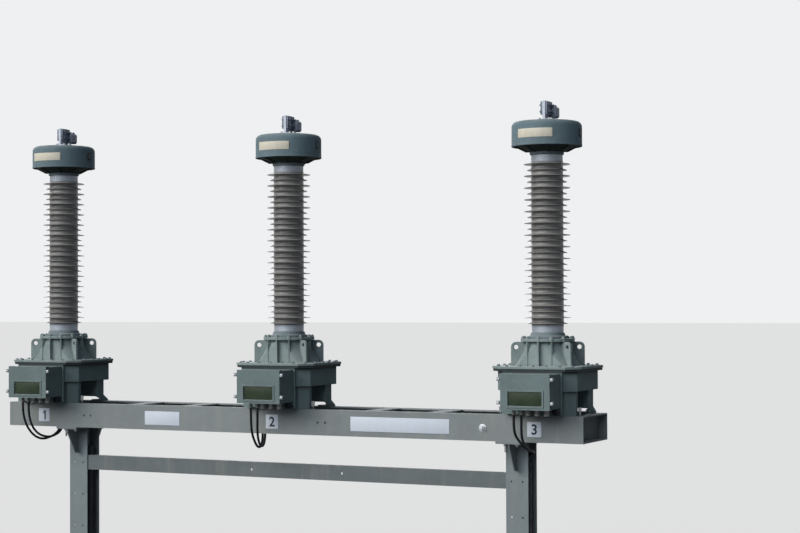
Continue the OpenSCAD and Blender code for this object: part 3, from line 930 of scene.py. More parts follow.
class Finish(Enum):
    """Every finish of the row."""

    FRAME_ZINC = Galvanised("weathered_zinc_frame", (0.186, 0.207, 0.214))
    POST_ZINC = Galvanised("weathered_zinc_posts", (0.166, 0.194, 0.208), rough=0.64)
    # The zinc of the tie rail and end channels, made darker as painted shade.
    RAIL_ZINC = Galvanised("weathered_zinc_rail", (0.120, 0.138, 0.147))
    # The tank's paint is made dark from its painted shadow level up, as a painted shadow under the casting's
    # foot.
    TANK = Paint("grey_green_paint_tank", (0.132, 0.176, 0.182), dusty=0.85, dust=(0.40, 0.42, 0.41),
                 grime=0.8, grime_reach=0.05, grime_level=FRAME_TOP + 0.320)
    # Near-black paint as painted shade, under the drum and on the gauge flange.
    UNDERSIDE = Paint("dark_underside_paint", (0.028, 0.037, 0.033), rough=0.7, dusty=0.1, chips=0.1)
    CASTING = Paint("grey_green_paint_casting", (0.180, 0.222, 0.226), texture=0.0012, grain=110.0, dusty=0.9,
                    dust=(0.46, 0.48, 0.47))
    RING = Paint("blue_grey_paint_ring", (0.140, 0.178, 0.200), texture=0.0008, grain=140.0, dusty=0.5)
    DRUM = Paint("grey_green_paint_drum", (0.117, 0.163, 0.188), streak=0.18, texture=0.0003)
    BOX = Paint("light_grey_green_paint", (0.120, 0.158, 0.165), rough=0.55, streak=0.16, dusty=0.4)
    PORCELAIN = Glaze("grey_brown_glaze", (0.184, 0.182, 0.181))
    FITTING = CastMetal("cast_aluminium", (0.28, 0.31, 0.36))
    # The palm's tin grey, made lighter and bluer as a painted sky reflection.
    PALM = CastMetal("tinned_aluminium", (0.400, 0.430, 0.520), rough=0.55, metal=0.15, patina=0.25)
    # Dark blue-grey aluminium as painted shade, for the clamp and the bolts on palm and clamp.
    CLAMP = CastMetal("dull_clamp_aluminium", (0.100, 0.122, 0.165), rough=0.55, metal=0.4)
    BOLT = CastMetal("zinc_plated_steel", (0.30, 0.31, 0.32), rough=0.42, metal=0.6, texture=0.0001)
    SCREW = CastMetal("bright_stainless", (0.40, 0.42, 0.46), rough=0.4, texture=0.0001, patina=0.2)
    GLAND = CastMetal("nickelled_gland_metal", (0.148, 0.152, 0.148), metal=0.25)
    CABLE = Compound("cable_rubber", (0.007, 0.008, 0.010))
    PLASTIC = Compound("black_duct_plastic", (0.009, 0.012, 0.016), rough=0.6)
    SEAL = Compound("dark_seal_rubber", (0.012, 0.014, 0.017), rough=0.7)
    CREAM = Plate("cream_enamel", (0.55, 0.53, 0.455), (0.43, 0.38, 0.29))
    WHITE = Plate("white_enamel", (0.50, 0.55, 0.64), (0.45, 0.46, 0.46), amount=0.22)
    PRINT = Plate("navy_print", (0.016, 0.022, 0.042), (0.03, 0.035, 0.05))
    PANE = Pane("dark_olive_pane", (0.018, 0.029, 0.016), (0.030, 0.042, 0.026))
    LENS = Pane("gauge_glass", (0.125, 0.145, 0.165), (0.190, 0.200, 0.210))

    @property
    def material(self) -> bpy.types.Material:
        """Return the finish's material, built the first time it is asked for."""
        return bpy.data.materials.get(self.value.name) or self.value.build()


def finish(piece: Piece, name: str, surface: Finish, replaces: Sequence[str] = ()) -> None:
    """Name a finished piece, dress it and fix it to the part.

    Args:
        piece: The piece, its place in its mesh.
        name: The piece's name.
        surface: Its finish.
        replaces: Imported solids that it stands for.
    """
    clear()
    piece.name = piece.data.name = name
    piece.data.materials.clear()
    piece.data.materials.append(surface.material)
    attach(piece, "root")
    if replaces:
        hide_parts(*replaces)
    log.info("%s: %s", name, surface.value.name)


def in_each(pattern: Piece, name: str, surface: Finish, node: str = "") -> None:
    """Copy a piece of the middle transformer to all three and finish the copies.

    Args:
        pattern: The piece, modelled at the middle transformer.
        name: Name without the transformer's number.
        surface: Its finish.
        node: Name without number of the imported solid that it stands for.
    """
    for phase in Phase:
        twin = duplicate(pattern, Matrix.Translation((phase.axis, 0, 0)))
        finish(twin, f"{name}_{phase.value}", surface, [f"{node}_{phase.value}"] if node else ())
    discard(pattern)


def in_row(piece: Piece) -> Piece:
    """Move a piece from the transformer's own axes to the middle transformer's place."""
    piece.data.transform(Matrix.Translation((0, ROW_Y, FRAME_TOP)))
    return piece


# Stand


@dataclass
class Frame:
    """Ladder of channels that carries the transformers, and what is bolted to it."""

    edge: float = 0.0025
    channels: tuple[str, ...] = ("front_channel", "rear_channel", "end_channels", "cross_beams")
    foot_bolt: HexBolt = HexBolt(0.016)
    foot_bolt_place: Vec3 = (0.24, 0.20, 0.0125)
    stud: Point = (0.0065, 0.062)
    stud_place: Point = (0.316, -0.165)
    stud_nut: Point = (0.0135, 0.012)
    stud_nuts_z: Point = (0.036, 0.050)
    earth_bolt: HexBolt = HexBolt(0.02)
    earth_washer: Point = (0.03, 0.004)
    earth_place: Vec3 = (1.816, WEB_FACE, -0.103)

    def build(self) -> None:
        """Make the channels and their bolts."""
        for node in self.channels:
            # The end channels take the darker zinc as painted shade.
            surface = Finish.RAIL_ZINC if node == "end_channels" else Finish.FRAME_ZINC
            steel = smooth(softened(node, self.edge), flat=True)
            finish(steel, node + "_steel", surface, [node])
        self.build_foot_bolts()
        self.build_earth_bolt()

    def build_foot_bolts(self) -> None:
        """Make the bolts behind the tanks' feet, and beside them the clamping studs with two nuts."""
        x, y, z = self.foot_bolt_place
        bolts = repeated(self.foot_bolt.build(), [(-x, y, z), (x, y, z)], step=11.0)
        radius, length = self.stud
        stud = rod(radius, length, (0, 0, length / 2), sides=16, edge=0.001)
        nuts = [rod(*self.stud_nut, (0, 0, z), sides=6, edge=0.001) for z in self.stud_nuts_z]
        x, y = self.stud_place
        studs = repeated(smooth(joined([stud] + nuts), 30.0), [(-x, y, 0.0), (x, y, 0.0)])
        in_each(in_row(joined([bolts, studs])), "foot_bolts", Finish.BOLT)

    def build_earth_bolt(self) -> None:
        """Make the bolt with a large washer on the front web."""
        radius, thick = self.earth_washer
        washer = rod(radius, thick, (0, 0, thick / 2), sides=40, edge=0.0008)
        bolt = joined([washer, repeated(self.earth_bolt.build(), [(0, 0, thick)])])
        bolt = smooth(repeated(bolt, [self.earth_place], Way.FRONT))
        finish(in_row(bolt), "earth_bolt", Finish.SCREW)


@dataclass
class Posts:
    """The two posts, the rail between them and the ducts on them."""

    posts: Point = (-2.02, 2.02)
    section: Point = (0.180, 0.171)
    edge: float = 0.002
    head_z: float = -0.218
    foot_z: float = -1.725
    gusset: Point = (0.010, 0.210)
    stud: HexBolt = HexBolt(0.018, stub=2.7)
    stud_x: float = -0.045
    nut: HexBolt = HexBolt(0.018, stub=0.4)
    nut_x: float = 0.047
    bolts_y: Point = (-0.197, 0.197)
    ripple: float = 0.0035
    ripple_radii: Point = (0.0043, 0.0052)
    bead_end: float = 0.003
    band: Vec3 = (0.084, 0.064, 0.022)
    band_place: Point = (0.043, ROW_Y - 0.02)
    band_drops: tuple[float, ...] = (0.05, 0.55, 1.05)

    def build(self) -> None:
        """Make the posts, their bolts and welds, the rail and the ducts."""
        # The tie rail takes the darker zinc as painted shade.
        for node, surface in (("post_left", Finish.POST_ZINC), ("post_right", Finish.POST_ZINC),
                              ("tie_rail", Finish.RAIL_ZINC)):
            steel = smooth(softened(node, self.edge), flat=True)
            finish(steel, node + "_steel", surface, [node])
        self.build_head_bolts()
        self.build_welds()
        self.build_ducts()

    def build_head_bolts(self) -> None:
        """Make the nuts and stud ends under the head plates."""
        kinds = []
        for bolt, x in ((self.stud, self.stud_x), (self.nut, self.nut_x)):
            places = [(post + x, y, self.head_z) for post in self.posts for y in self.bolts_y]
            kinds.append(repeated(bolt.build(), places, Way.DOWN, step=17.0))
        finish(in_row(joined(kinds)), "head_plate_bolts", Finish.BOLT)

    def bead(self, length: float) -> Piece:
        """Make a rippled weld bead.

        Args:
            length: Its length.

        Returns:
            The bead, standing on z = 0.
        """
        count = int((length - 2 * self.bead_end) / self.ripple) + 1
        ripples = [(self.ripple_radii[k % 2], self.bead_end + self.ripple * k) for k in range(count)]
        profile = [(0.0, 0.0), (0.0035, 0.001)] + ripples + [(0.0, ripples[-1][1] + 0.002)]
        return smooth(turned(profile, 10), 70.0)

    def build_welds(self) -> None:
        """Make the weld beads along the flanges' ends and beside the gussets."""
        (wide, deep), (thick, high) = self.section, self.gusset
        faces = (-deep / 2, deep / 2)
        kinds = []
        for post in self.posts:
            ends = [(post - wide / 2, y, z) for y in faces for z in (self.foot_z, self.head_z)]
            sides = [(post + x, y, self.head_z - high) for y in faces for x in (-thick / 2, thick / 2)]
            kinds += [repeated(self.bead(wide), ends, Way.RIGHT), repeated(self.bead(high), sides)]
        finish(in_row(joined(kinds)), "post_welds", Finish.POST_ZINC)

    def build_ducts(self) -> None:
        """Make the cable ducts with their bands, and the cleats."""
        for node, name, edge, steps in (("cable_ducts", "duct_bodies", 0.006, 3),
                                        ("cable_cleats", "cleat_bodies", 0.003, 2)):
            finish(smooth(softened(node, edge, steps)), name, Finish.PLASTIC, [node])
        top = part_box("cable_ducts")[1].z
        x, y = self.band_place
        bands = [block(self.band, (post + x, y, top - drop), 0.003)
                 for post in self.posts for drop in self.band_drops]
        finish(smooth(joined(bands)), "duct_bands", Finish.SEAL)


# Transformers


@dataclass
class Tank:
    """Tank with its bolted flange, feet, front plate and drain valve."""

    edge: float = 0.003
    bolt: HexBolt = HexBolt(0.012, stub=0.0)
    bolt_z: float = 0.361
    flange: Point = (0.708, 0.640)
    inset: float = 0.021
    corner_in: float = 0.0397
    spacing: float = 0.104
    valve: Vec3 = (0.208, -0.396, 0.034)

    def build(self) -> None:
        """Make the tank, its bolts and the drain cap."""
        shell = smooth(softened("tank_2", self.edge), flat=True)
        in_each(shell, "tank_shell", Finish.TANK, "tank")
        self.build_bolts()
        cap = turned([(0.0, 0.0), (0.02, 0.0), (0.0235, 0.003), (0.0245, 0.01), (0.0245, 0.042),
                      (0.02, 0.046), (0.0185, 0.05), (0.0185, 0.062), (0.0, 0.062)], 32)
        cap = smooth(repeated(cap, [self.valve], Way.BACK))
        in_each(in_row(cap), "drain_cap", Finish.PLASTIC)

    def build_bolts(self) -> None:
        """Make the bolts all round the octagonal flange."""
        x, y = self.flange[0] / 2 - self.inset, self.flange[1] / 2 - self.inset
        corner_x, corner_y = x - self.corner_in, y - self.corner_in
        spots = [(k * self.spacing, side * y) for k in (-2, -1, 0, 1, 2) for side in (-1, 1)]
        spots += [(side * x, k * self.spacing) for k in (-1.5, -0.5, 0.5, 1.5) for side in (-1, 1)]
        spots += [(i * corner_x, j * corner_y) for i in (-1, 1) for j in (-1, 1)]
        bolts = repeated(self.bolt.build(), [(*spot, self.bolt_z) for spot in spots], step=23.0)
        in_each(in_row(bolts), "flange_bolts", Finish.RING)


@dataclass
class Casting:
    """Ribbed casting with its lifting lugs and the bolts on its top flange."""

    edge: float = 0.0035
    bolt: HexBolt = HexBolt(0.016, stub=0.35)
    bolt_circle: float = 0.187
    bolts: int = 12

    def build(self) -> None:
        """Make the casting and its bolts."""
        casting = smooth(softened("base_casting_2", self.edge), 40.0)
        in_each(casting, "ribbed_casting", Finish.CASTING, "base_casting")
        circle = self.bolt_circle
        angles = [2 * math.pi * k / self.bolts for k in range(self.bolts)]
        places = [(circle * math.cos(angle), circle * math.sin(angle), CASTING_TOP) for angle in angles]
        bolts = repeated(self.bolt.build(), places, step=30.0)
        in_each(in_row(bolts), "casting_bolts", Finish.CASTING)


@dataclass
class Insulator:
    """Porcelain with large and small sheds in turn, between two metal fittings."""

    core: float = 0.121
    large: float = 0.174
    small: float = 0.151
    lip: float = 0.0022
    root: float = 0.004
    sheds: int = 28
    first: float = 0.010
    last: float = 0.015
    length: float = PORCELAIN_HEAD - PORCELAIN_FOOT
    cone_z: float = PORCELAIN_HEAD + 0.0765

    @property
    def pitch(self) -> float:
        """Return the distance from one shed to the next."""
        return (self.length - self.first - self.last) / (self.sheds - 1)

    def shed(self, rim: float, z: float) -> list[Point]:
        """Return the outline of one shed.

        Args:
            rim: Its outer radius.
            z: Its height over the porcelain's foot.

        Returns:
            The outline from its root below, round the lip, to the core above it.
        """
        core, mid = self.core, (self.core + rim) / 2
        under = [(core, z - self.root), (core + 0.0012, z - 0.0012), (core + 0.0045, z + 0.0004),
                 (mid, z - 0.0004), (rim - 0.007, z - 0.0018)]
        lip = arc((rim - self.lip, z + 0.0002), (self.lip, self.lip), -90.0, 78.0, 5)
        over = [(mid + 0.004, z + 0.0056), (core + 0.009, z + 0.0086), (core + 0.0040, z + 0.0104),
                (core + 0.0010, z + 0.0124), (core, z + 0.0145)]
        return under + lip + over

    def build(self) -> None:
        """Make the porcelain and both fittings."""
        pair = turned(self.shed(self.small, self.first) + self.shed(self.large, self.first + self.pitch)
                      + [(self.core, self.first + 2 * self.pitch - self.root)], 80)
        modify(pair, "ARRAY", count=self.sheds // 2, use_relative_offset=False, use_constant_offset=True,
               constant_offset_displace=(0, 0, 2 * self.pitch), use_merge_vertices=True,
               merge_threshold=0.0001)
        foot = turned([(0.0, 0.0), (self.core, 0.0), (self.core, self.first - self.root)], 80)
        porcelain = joined([pair, foot])
        with editing(porcelain, Element.VERT):
            bpy.ops.mesh.select_all(action="SELECT")
            bpy.ops.mesh.remove_doubles(threshold=0.00005)
            bpy.ops.mesh.bisect(plane_co=(0, 0, self.length), plane_no=(0, 0, 1), use_fill=True,
                                clear_outer=True)
            bpy.ops.mesh.select_all(action="SELECT")
            bpy.ops.mesh.normals_make_consistent(inside=False)
        porcelain.data.transform(Matrix.Translation((0, 0, PORCELAIN_FOOT)))
        porcelain = in_row(smooth(porcelain, 50.0))
        in_each(porcelain, "porcelain_sheds", Finish.PORCELAIN, "insulator")
        self.build_fittings()
        self.build_cone()

    def build_fittings(self) -> None:
        """Make the turned metal below and above the porcelain."""
        fittings = (
            ("lower_ring", "lower_fitting", CASTING_TOP, Finish.RING, Slot.PAINT,
             [(0.0, 0.0), (0.1465, 0.0), (0.147, 0.0015), (0.147, 0.0165), (0.1455, 0.0182),
              (0.136, 0.0215), (0.131, 0.026), (0.1285, 0.036), (0.1265, 0.0415), (0.1225, 0.0445),
              (0.115, 0.0455), (0.0, 0.0455)]),
            ("lower_collar", "lower_fitting", CASTING_TOP, Finish.FITTING, Slot.FITTING,
             [(0.0, 0.045), (0.1175, 0.045), (0.119, 0.048), (0.119, 0.091), (0.1212, 0.0935),
              (0.1212, 0.0985), (0.119, 0.102), (0.0, 0.102)]),
            ("upper_collar", "upper_fitting", PORCELAIN_HEAD, Finish.FITTING, Slot.FITTING,
             [(0.0, 0.0), (0.119, 0.0), (0.1212, 0.003), (0.1212, 0.008), (0.119, 0.011), (0.119, 0.052),
              (0.117, 0.0545), (0.0, 0.0545)]),
            ("cone_seat", "upper_fitting", PORCELAIN_HEAD, Finish.RING, Slot.PAINT,
             [(0.0, 0.0530), (0.1195, 0.0530), (0.1195, 0.0565), (0.1265, 0.0575), (0.1285, 0.0595),
              (0.1285, 0.0750), (0.1270, 0.0770), (0.0, 0.0770)]))
        for name, node, foot, surface, slot, profile in fittings:
            ring = turned([(radius, foot + z) for radius, z in profile])
            in_each(in_row(smooth(ring, 25.0)), name, surface, node)

    def build_cone(self) -> None:
        """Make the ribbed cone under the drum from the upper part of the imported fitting."""
        cone = softened("upper_fitting_2", 0.002)
        with editing(cone):
            bpy.ops.mesh.select_all(action="SELECT")
            bpy.ops.mesh.bisect(plane_co=(0, 0, FRAME_TOP + self.cone_z), plane_no=(0, 0, 1), use_fill=True,
                                clear_inner=True)
        # The cone is near-black as painted shade under the drum.
        in_each(smooth(cone, 30.0), "ribbed_cone", Finish.UNDERSIDE, "upper_fitting")


@dataclass
class Head:
    """Drum-shaped cover with its plate, oil gauge, terminal and clamp."""

    radius: float = 0.266
    wall: float = 0.2645
    wall_top: float = 0.146
    shoulder: Point = (0.0405, 0.042)
    plate_z: Point = (2.056, 2.122)
    plate_arc: Point = (-121.0, -59.0)
    plate_thick: float = 0.0022
    gauge: Point = (0.040, 0.064)
    gauge_deep: float = 0.024
    gauge_out: float = 0.007
    gauge_rim: float = 0.006
    gauge_sunk: float = 0.005
    gauge_z: float = 2.098
    lens_deep: float = 0.004
    lens_gap: float = 0.0005
    lens_out: float = 0.0055
    palm_bolt: HexBolt = HexBolt(0.012, stub=0.4)
    palm_mid: Point = (-0.0075, 2.2905)
    palm_pitch: float = 0.050
    pad_face: float = 0.027
    base_bolt: HexBolt = HexBolt(0.010, stub=0.0)
    base_x: Point = (-0.038, 0.038)
    base_y: Point = (-0.044, 0.040)
    base_top: float = 2.209
    barrel_bolts: tuple[Vec3, Vec3] = ((0.037, 0.046, 2.3075), (0.037, 0.086, 2.3075))

    def build(self) -> None:
        """Make the drum and everything on it."""
        self.build_drum()
        self.build_plate()
        self.build_gauge()
        self.build_terminal()
        self.build_bolts()

    def build_drum(self) -> None:
        """Make the cover: folded rim, upright wall, rounded shoulder and a shallow crown."""
        r, wall = self.radius, self.wall
        profile = [(0.0, 0.018), (r - 0.012, 0.018), (r - 0.008, 0.014), (r - 0.008, 0.003),
                   (r - 0.006, 0.0), (r - 0.002, 0.0), (r, 0.003), (r, 0.012), (wall, 0.014),
                   (wall, self.wall_top)]
        profile += arc((wall - self.shoulder[0], self.wall_top), self.shoulder, 10.0, 90.0, 8)
        profile += [(0.18, 0.1912), (0.12, 0.1935), (0.06, 0.194), (0.0, 0.194)]
        drum = turned([(radius, HEAD_RIM + z) for radius, z in profile], 112)
        in_each(in_row(smooth(drum, 30.0)), "drum_cover", Finish.DRUM, "head_cover")

    def build_plate(self) -> None:
        """Make the bare cream plate that follows the drum."""
        first, last = (math.radians(angle) for angle in self.plate_arc)
        sheet = turned([(self.radius - 0.001, z) for z in self.plate_z], 28, last - first, first)
        modify(sheet, "SOLIDIFY", thickness=self.plate_thick, offset=1.0)
        modify(sheet, "BEVEL", width=0.0006, segments=2, limit_method="ANGLE", angle_limit=math.radians(40))
        in_each(in_row(smooth(sheet)), "cream_plate", Finish.CREAM)

    def build_gauge(self) -> None:
        """Make the oil gauge: an oval flange with a sunk lens on the drum's right."""
        wide, high = self.gauge
        rims = 2 * (self.gauge_rim + self.lens_gap)
        flange = self.oval(wide, high, self.gauge_deep, self.radius + self.gauge_out, 0.0015)
        with editing(flange):
            choose(flange, Element.FACE, lambda f: f.normal.x > 0.999 and f.calc_area() > 0.001)
            bpy.ops.mesh.inset(thickness=self.gauge_rim, depth=0.0)
            bpy.ops.mesh.extrude_region_move(TRANSFORM_OT_translate={"value": (-self.gauge_sunk, 0, 0)})
        # The flange is near-black as painted shade.
        in_each(in_row(smooth(flange)), "gauge_flange", Finish.UNDERSIDE)
        lens = self.oval(wide - rims, high - rims, self.lens_deep, self.radius + self.lens_out, 0.001)
        in_each(in_row(smooth(lens)), "gauge_lens", Finish.LENS)

    def oval(self, wide: float, high: float, deep: float, front: float, edge: float) -> Piece:
        """Make an upright oval disc that faces right at the gauge's height.

        Args:
            wide: Its width.
            high: Its height.
            deep: Its thickness.
            front: Place of its front face.
            edge: Width of the rounding round the front face.

        Returns:
            The disc.
        """
        disc = rod(wide / 2, deep, (front - deep / 2, 0, self.gauge_z), Way.RIGHT, 40)
        with editing(disc, Element.VERT):
            for side in (-1, 1):
                choose(disc, Element.VERT, lambda v: side * (v.co.z - self.gauge_z) > 0.0001)
                bpy.ops.transform.translate(value=(0, 0, side * (high - wide) / 2))
        with editing(disc):
            choose(disc, Element.FACE, lambda f: f.normal.x > 0.99)
            bpy.ops.mesh.bevel(offset=edge, segments=2, affect="EDGES")
        return disc

    def build_terminal(self) -> None:
        """Make the palm and the clamp."""
        palm = smooth(softened("terminal_2", 0.0018), flat=True)
        # The palm is lighter and bluer as a painted sky reflection.
        in_each(palm, "palm", Finish.PALM, "terminal")
        clamp = smooth(softened("conductor_clamp_2", 0.003, 3))
        # The clamp's dark blue-grey is painted shade.
        in_each(clamp, "clamp_body", Finish.CLAMP, "conductor_clamp")

    def build_bolts(self) -> None:
        """Make the bolts of palm, base plate and clamp."""
        (y, z), reach = self.palm_mid, self.palm_pitch / 2
        corners = [(y + i * reach, z + j * reach) for i in (-1, 1) for j in (-1, 1)]
        sides = [repeated(self.palm_bolt.build(), [(x, *corner) for corner in corners], way, turn)
                 for x, way, turn in ((-self.pad_face, Way.LEFT, 10.0), (self.pad_face, Way.RIGHT, 20.0))]
        # The palm bolts are dark as painted shade.
        in_each(in_row(joined(sides)), "palm_bolts", Finish.CLAMP)
        feet = [(x, y, self.base_top) for x in self.base_x for y in self.base_y]
        bolts = repeated(self.base_bolt.build(), feet, turn=15.0)
        in_each(in_row(bolts), "terminal_bolts", Finish.BOLT)
        caps = repeated(self.palm_bolt.build(), self.barrel_bolts, turn=12.0)
        # The clamp bolts are dark as painted shade.
        in_each(in_row(caps), "clamp_bolts", Finish.CLAMP)


@dataclass
class TerminalBox:
    """Box for the secondary terminals with its lid, window and screws."""

    mid_x: float = 0.0365
    lid: Point = (0.385, 0.261)
    lid_floor: float = 0.055
    raised: Vec3 = (0.208, 0.006, 0.046)
    raised_place: Vec3 = (0.0345, -0.544, 0.246)
    seal_inset: float = 0.002
    seal_y: float = -0.5035
    window: Point = (0.268, 0.106)
    window_z: float = 0.136
    pane_y: float = -0.5402
    bead_y: float = -0.5432
    screw: Point = (0.021, 0.008)
    slot: Vec3 = (0.01932, 0.0028, 0.003)
    screw_out: float = 0.017
    screw_y: float = -0.545
    screw_z: Point = (0.106, 0.277)

    def build(self) -> None:
        """Make box, lid, seal, window and screws."""
        body = smooth(softened("terminal_box_2", 0.004, 3), flat=True)
        in_each(body, "box_body", Finish.BOX, "terminal_box")
        self.build_lid()
        self.build_seal()
        self.build_window()
        self.build_screws()

    def build_lid(self) -> None:
        """Make the lid with a faint raised field over the window."""
        lid = softened("box_lid_2", 0.003, 3)
        raised = in_row(block(self.raised, self.raised_place, 0.0008))
        modify(lid, "BOOLEAN", object=raised, operation="UNION", solver="EXACT")
        discard(raised)
        in_each(smooth(lid, flat=True), "lid_cover", Finish.BOX, "box_lid")

    def build_seal(self) -> None:
        """Make the dark seal behind the lid."""
        wide, high = self.lid
        seal = block((wide - 2 * self.seal_inset, 0.005, high - 2 * self.seal_inset),
                     (self.mid_x, self.seal_y, self.lid_floor + high / 2), 0.0015)
        in_each(in_row(smooth(seal)), "lid_seal", Finish.SEAL)

    def build_window(self) -> None:
        """Make the dark pane and the bead that holds it."""
        wide, high = self.window
        pane = block((wide + 0.002, 0.003, high + 0.002), (self.mid_x, self.pane_y, self.window_z), 0.0005)
        in_each(in_row(smooth(pane)), "window_pane", Finish.PANE)
        bead = block((wide - 0.001, 0.004, high - 0.001), (self.mid_x, self.bead_y, self.window_z))
        with editing(bead):
            choose(bead, Element.FACE, lambda f: abs(f.normal.y) > 0.99)
            bpy.ops.mesh.inset(thickness=0.0022, depth=0.0)
            bpy.ops.mesh.bridge_edge_loops()
        # The bead takes the ring's lighter blue-grey paint, which also stands in for the light along its rim
        # as a painted highlight.
        in_each(in_row(smooth(bead)), "window_bead", Finish.RING)

    def build_screws(self) -> None:
        """Make the captive slotted screws in the lid's ears."""
        wide, length = self.screw
        pattern = rod(wide / 2, length, (0, 0, 0.002), sides=28, edge=0.0016)
        slot = block(self.slot, (0, 0, 0.0052))
        modify(pattern, "BOOLEAN", object=slot, operation="DIFFERENCE", solver="EXACT")
        discard(slot)
        reach = self.lid[0] / 2 + self.screw_out
        ears = (self.mid_x - reach, self.mid_x + reach)
        places = [(x, self.screw_y, z) for x in ears for z in self.screw_z]
        screws = repeated(smooth(pattern, 30.0), places, Way.FRONT, 30.0, 50.0)
        in_each(in_row(screws), "lid_screws", Finish.SCREW)


@dataclass(frozen=True)
class CableRoute:
    """One secondary cable: its transformer, its side, its real length and the points it follows, in mm."""

    phase: Phase
    side: Side
    length: float
    points: tuple[Vec3, ...]

    def line(self) -> list[Vec3]:
        """Return the route in the part's frame, in metres."""
        return [(self.phase.axis + x / 1000, ROW_Y + y / 1000, FRAME_TOP + z / 1000)
                for x, y, z in self.points]


@dataclass
class Wiring:
    """Secondary cables and the glands that they come out of."""

    diameter: float = 0.019
    plug: Point = (0.016, 0.006)
    plug_x: tuple[float, ...] = (0.015, 0.088, 0.160)
    plug_place: Point = (-0.430, 0.0045)
    routes: tuple[CableRoute, ...] = (
        CableRoute(Phase.LEFT, Side.LEFT, 0.64, (
            (-98, -430, 13), (-98, -430, -35), (-95, -427, -85), (-88, -420, -134), (-77, -408, -181),
            (-60, -391, -224), (-37, -368, -263), (-10, -340, -290), (20, -306, -300), (48, -262, -290),
            (70, -216, -266), (82, -176, -230), (84, -165, -150))),
        CableRoute(Phase.LEFT, Side.RIGHT, 0.60, (
            (-38, -430, 13), (-38, -430, -35), (-36, -427, -85), (-31, -420, -134), (-21, -408, -180),
            (-5, -390, -222), (18, -364, -256), (46, -328, -277), (74, -284, -282), (96, -238, -268),
            (108, -196, -242), (110, -170, -208), (110, -165, -150))),
        CableRoute(Phase.MIDDLE, Side.LEFT, 0.61, (
            (-98, -430, 13), (-98, -430, -35), (-98, -428, -90), (-98, -422, -145), (-97, -408, -198),
            (-95, -382, -248), (-96, -342, -290), (-103, -295, -304), (-116, -248, -296), (-131, -206, -270),
            (-144, -176, -232), (-150, -165, -190), (-150, -165, -150))),
        CableRoute(Phase.MIDDLE, Side.RIGHT, 0.60, (
            (-38, -430, 13), (-38, -430, -35), (-40, -427, -90), (-45, -420, -142), (-51, -406, -193),
            (-58, -382, -240), (-66, -346, -280), (-77, -298, -296), (-91, -250, -288), (-107, -208, -262),
            (-120, -177, -226), (-126, -165, -186), (-126, -165, -150))),
        CableRoute(Phase.RIGHT, Side.LEFT, 0.66, (
            (-98, -430, 13), (-98, -430, -40), (-98, -424, -92), (-97, -400, -138), (-96, -360, -170),
            (-95, -314, -198), (-94, -266, -226), (-93, -214, -248), (-94, -160, -264), (-98, -108, -274),
            (-116, -64, -282), (-148, -34, -300), (-178, -20, -330), (-178, -20, -370))),
        CableRoute(Phase.RIGHT, Side.RIGHT, 0.67, (
            (-38, -430, 13), (-38, -430, -40), (-40, -426, -92), (-44, -410, -141), (-49, -378, -180),
            (-54, -334, -208), (-58, -286, -232), (-62, -234, -252), (-66, -180, -266), (-71, -126, -277),
            (-86, -78, -288), (-118, -42, -300), (-153, -20, -330), (-153, -20, -370))))

    def build_cables(self) -> None:
        for route in self.routes:
            name = f"cable_{route.phase.value}_{route.side.value}"
            curve = bpy.data.curves.new(name, "CURVE")
            curve.dimensions = "3D"
            curve.bevel_depth = self.diameter / 2
            curve.bevel_resolution = 5
            curve.resolution_u = 6
            curve.use_fill_caps = True
            spline = curve.splines.new("BEZIER")
            line = route.line()
            spline.bezier_points.add(len(line) - 1)
            for point, place in zip(spline.bezier_points, line):
                point.co = place
                point.handle_left_type = point.handle_right_type = "AUTO"
            cable = bpy.data.objects.new(name + "_jacket", curve)
            bpy.context.collection.objects.link(cable)
            finish(cable, name + "_jacket", Finish.CABLE, [name])

    def build_glands(self) -> None:
        """Make the glands and the plugs in the unused ones."""
        bodies = smooth(softened("cable_glands_2", 0.0012))
        in_each(bodies, "gland_bodies", Finish.GLAND, "cable_glands")
        plugs = [rod(*self.plug, (x, *self.plug_place), edge=0.0015) for x in self.plug_x]
        in_each(in_row(smooth(joined(plugs))), "gland_plugs", Finish.PLASTIC)


@dataclass(frozen=True)
class Sign:
    """A thin plate on the front web: place of its middle along the row and in height, width and height."""

    x: float
    z: float
    wide: float
    high: float


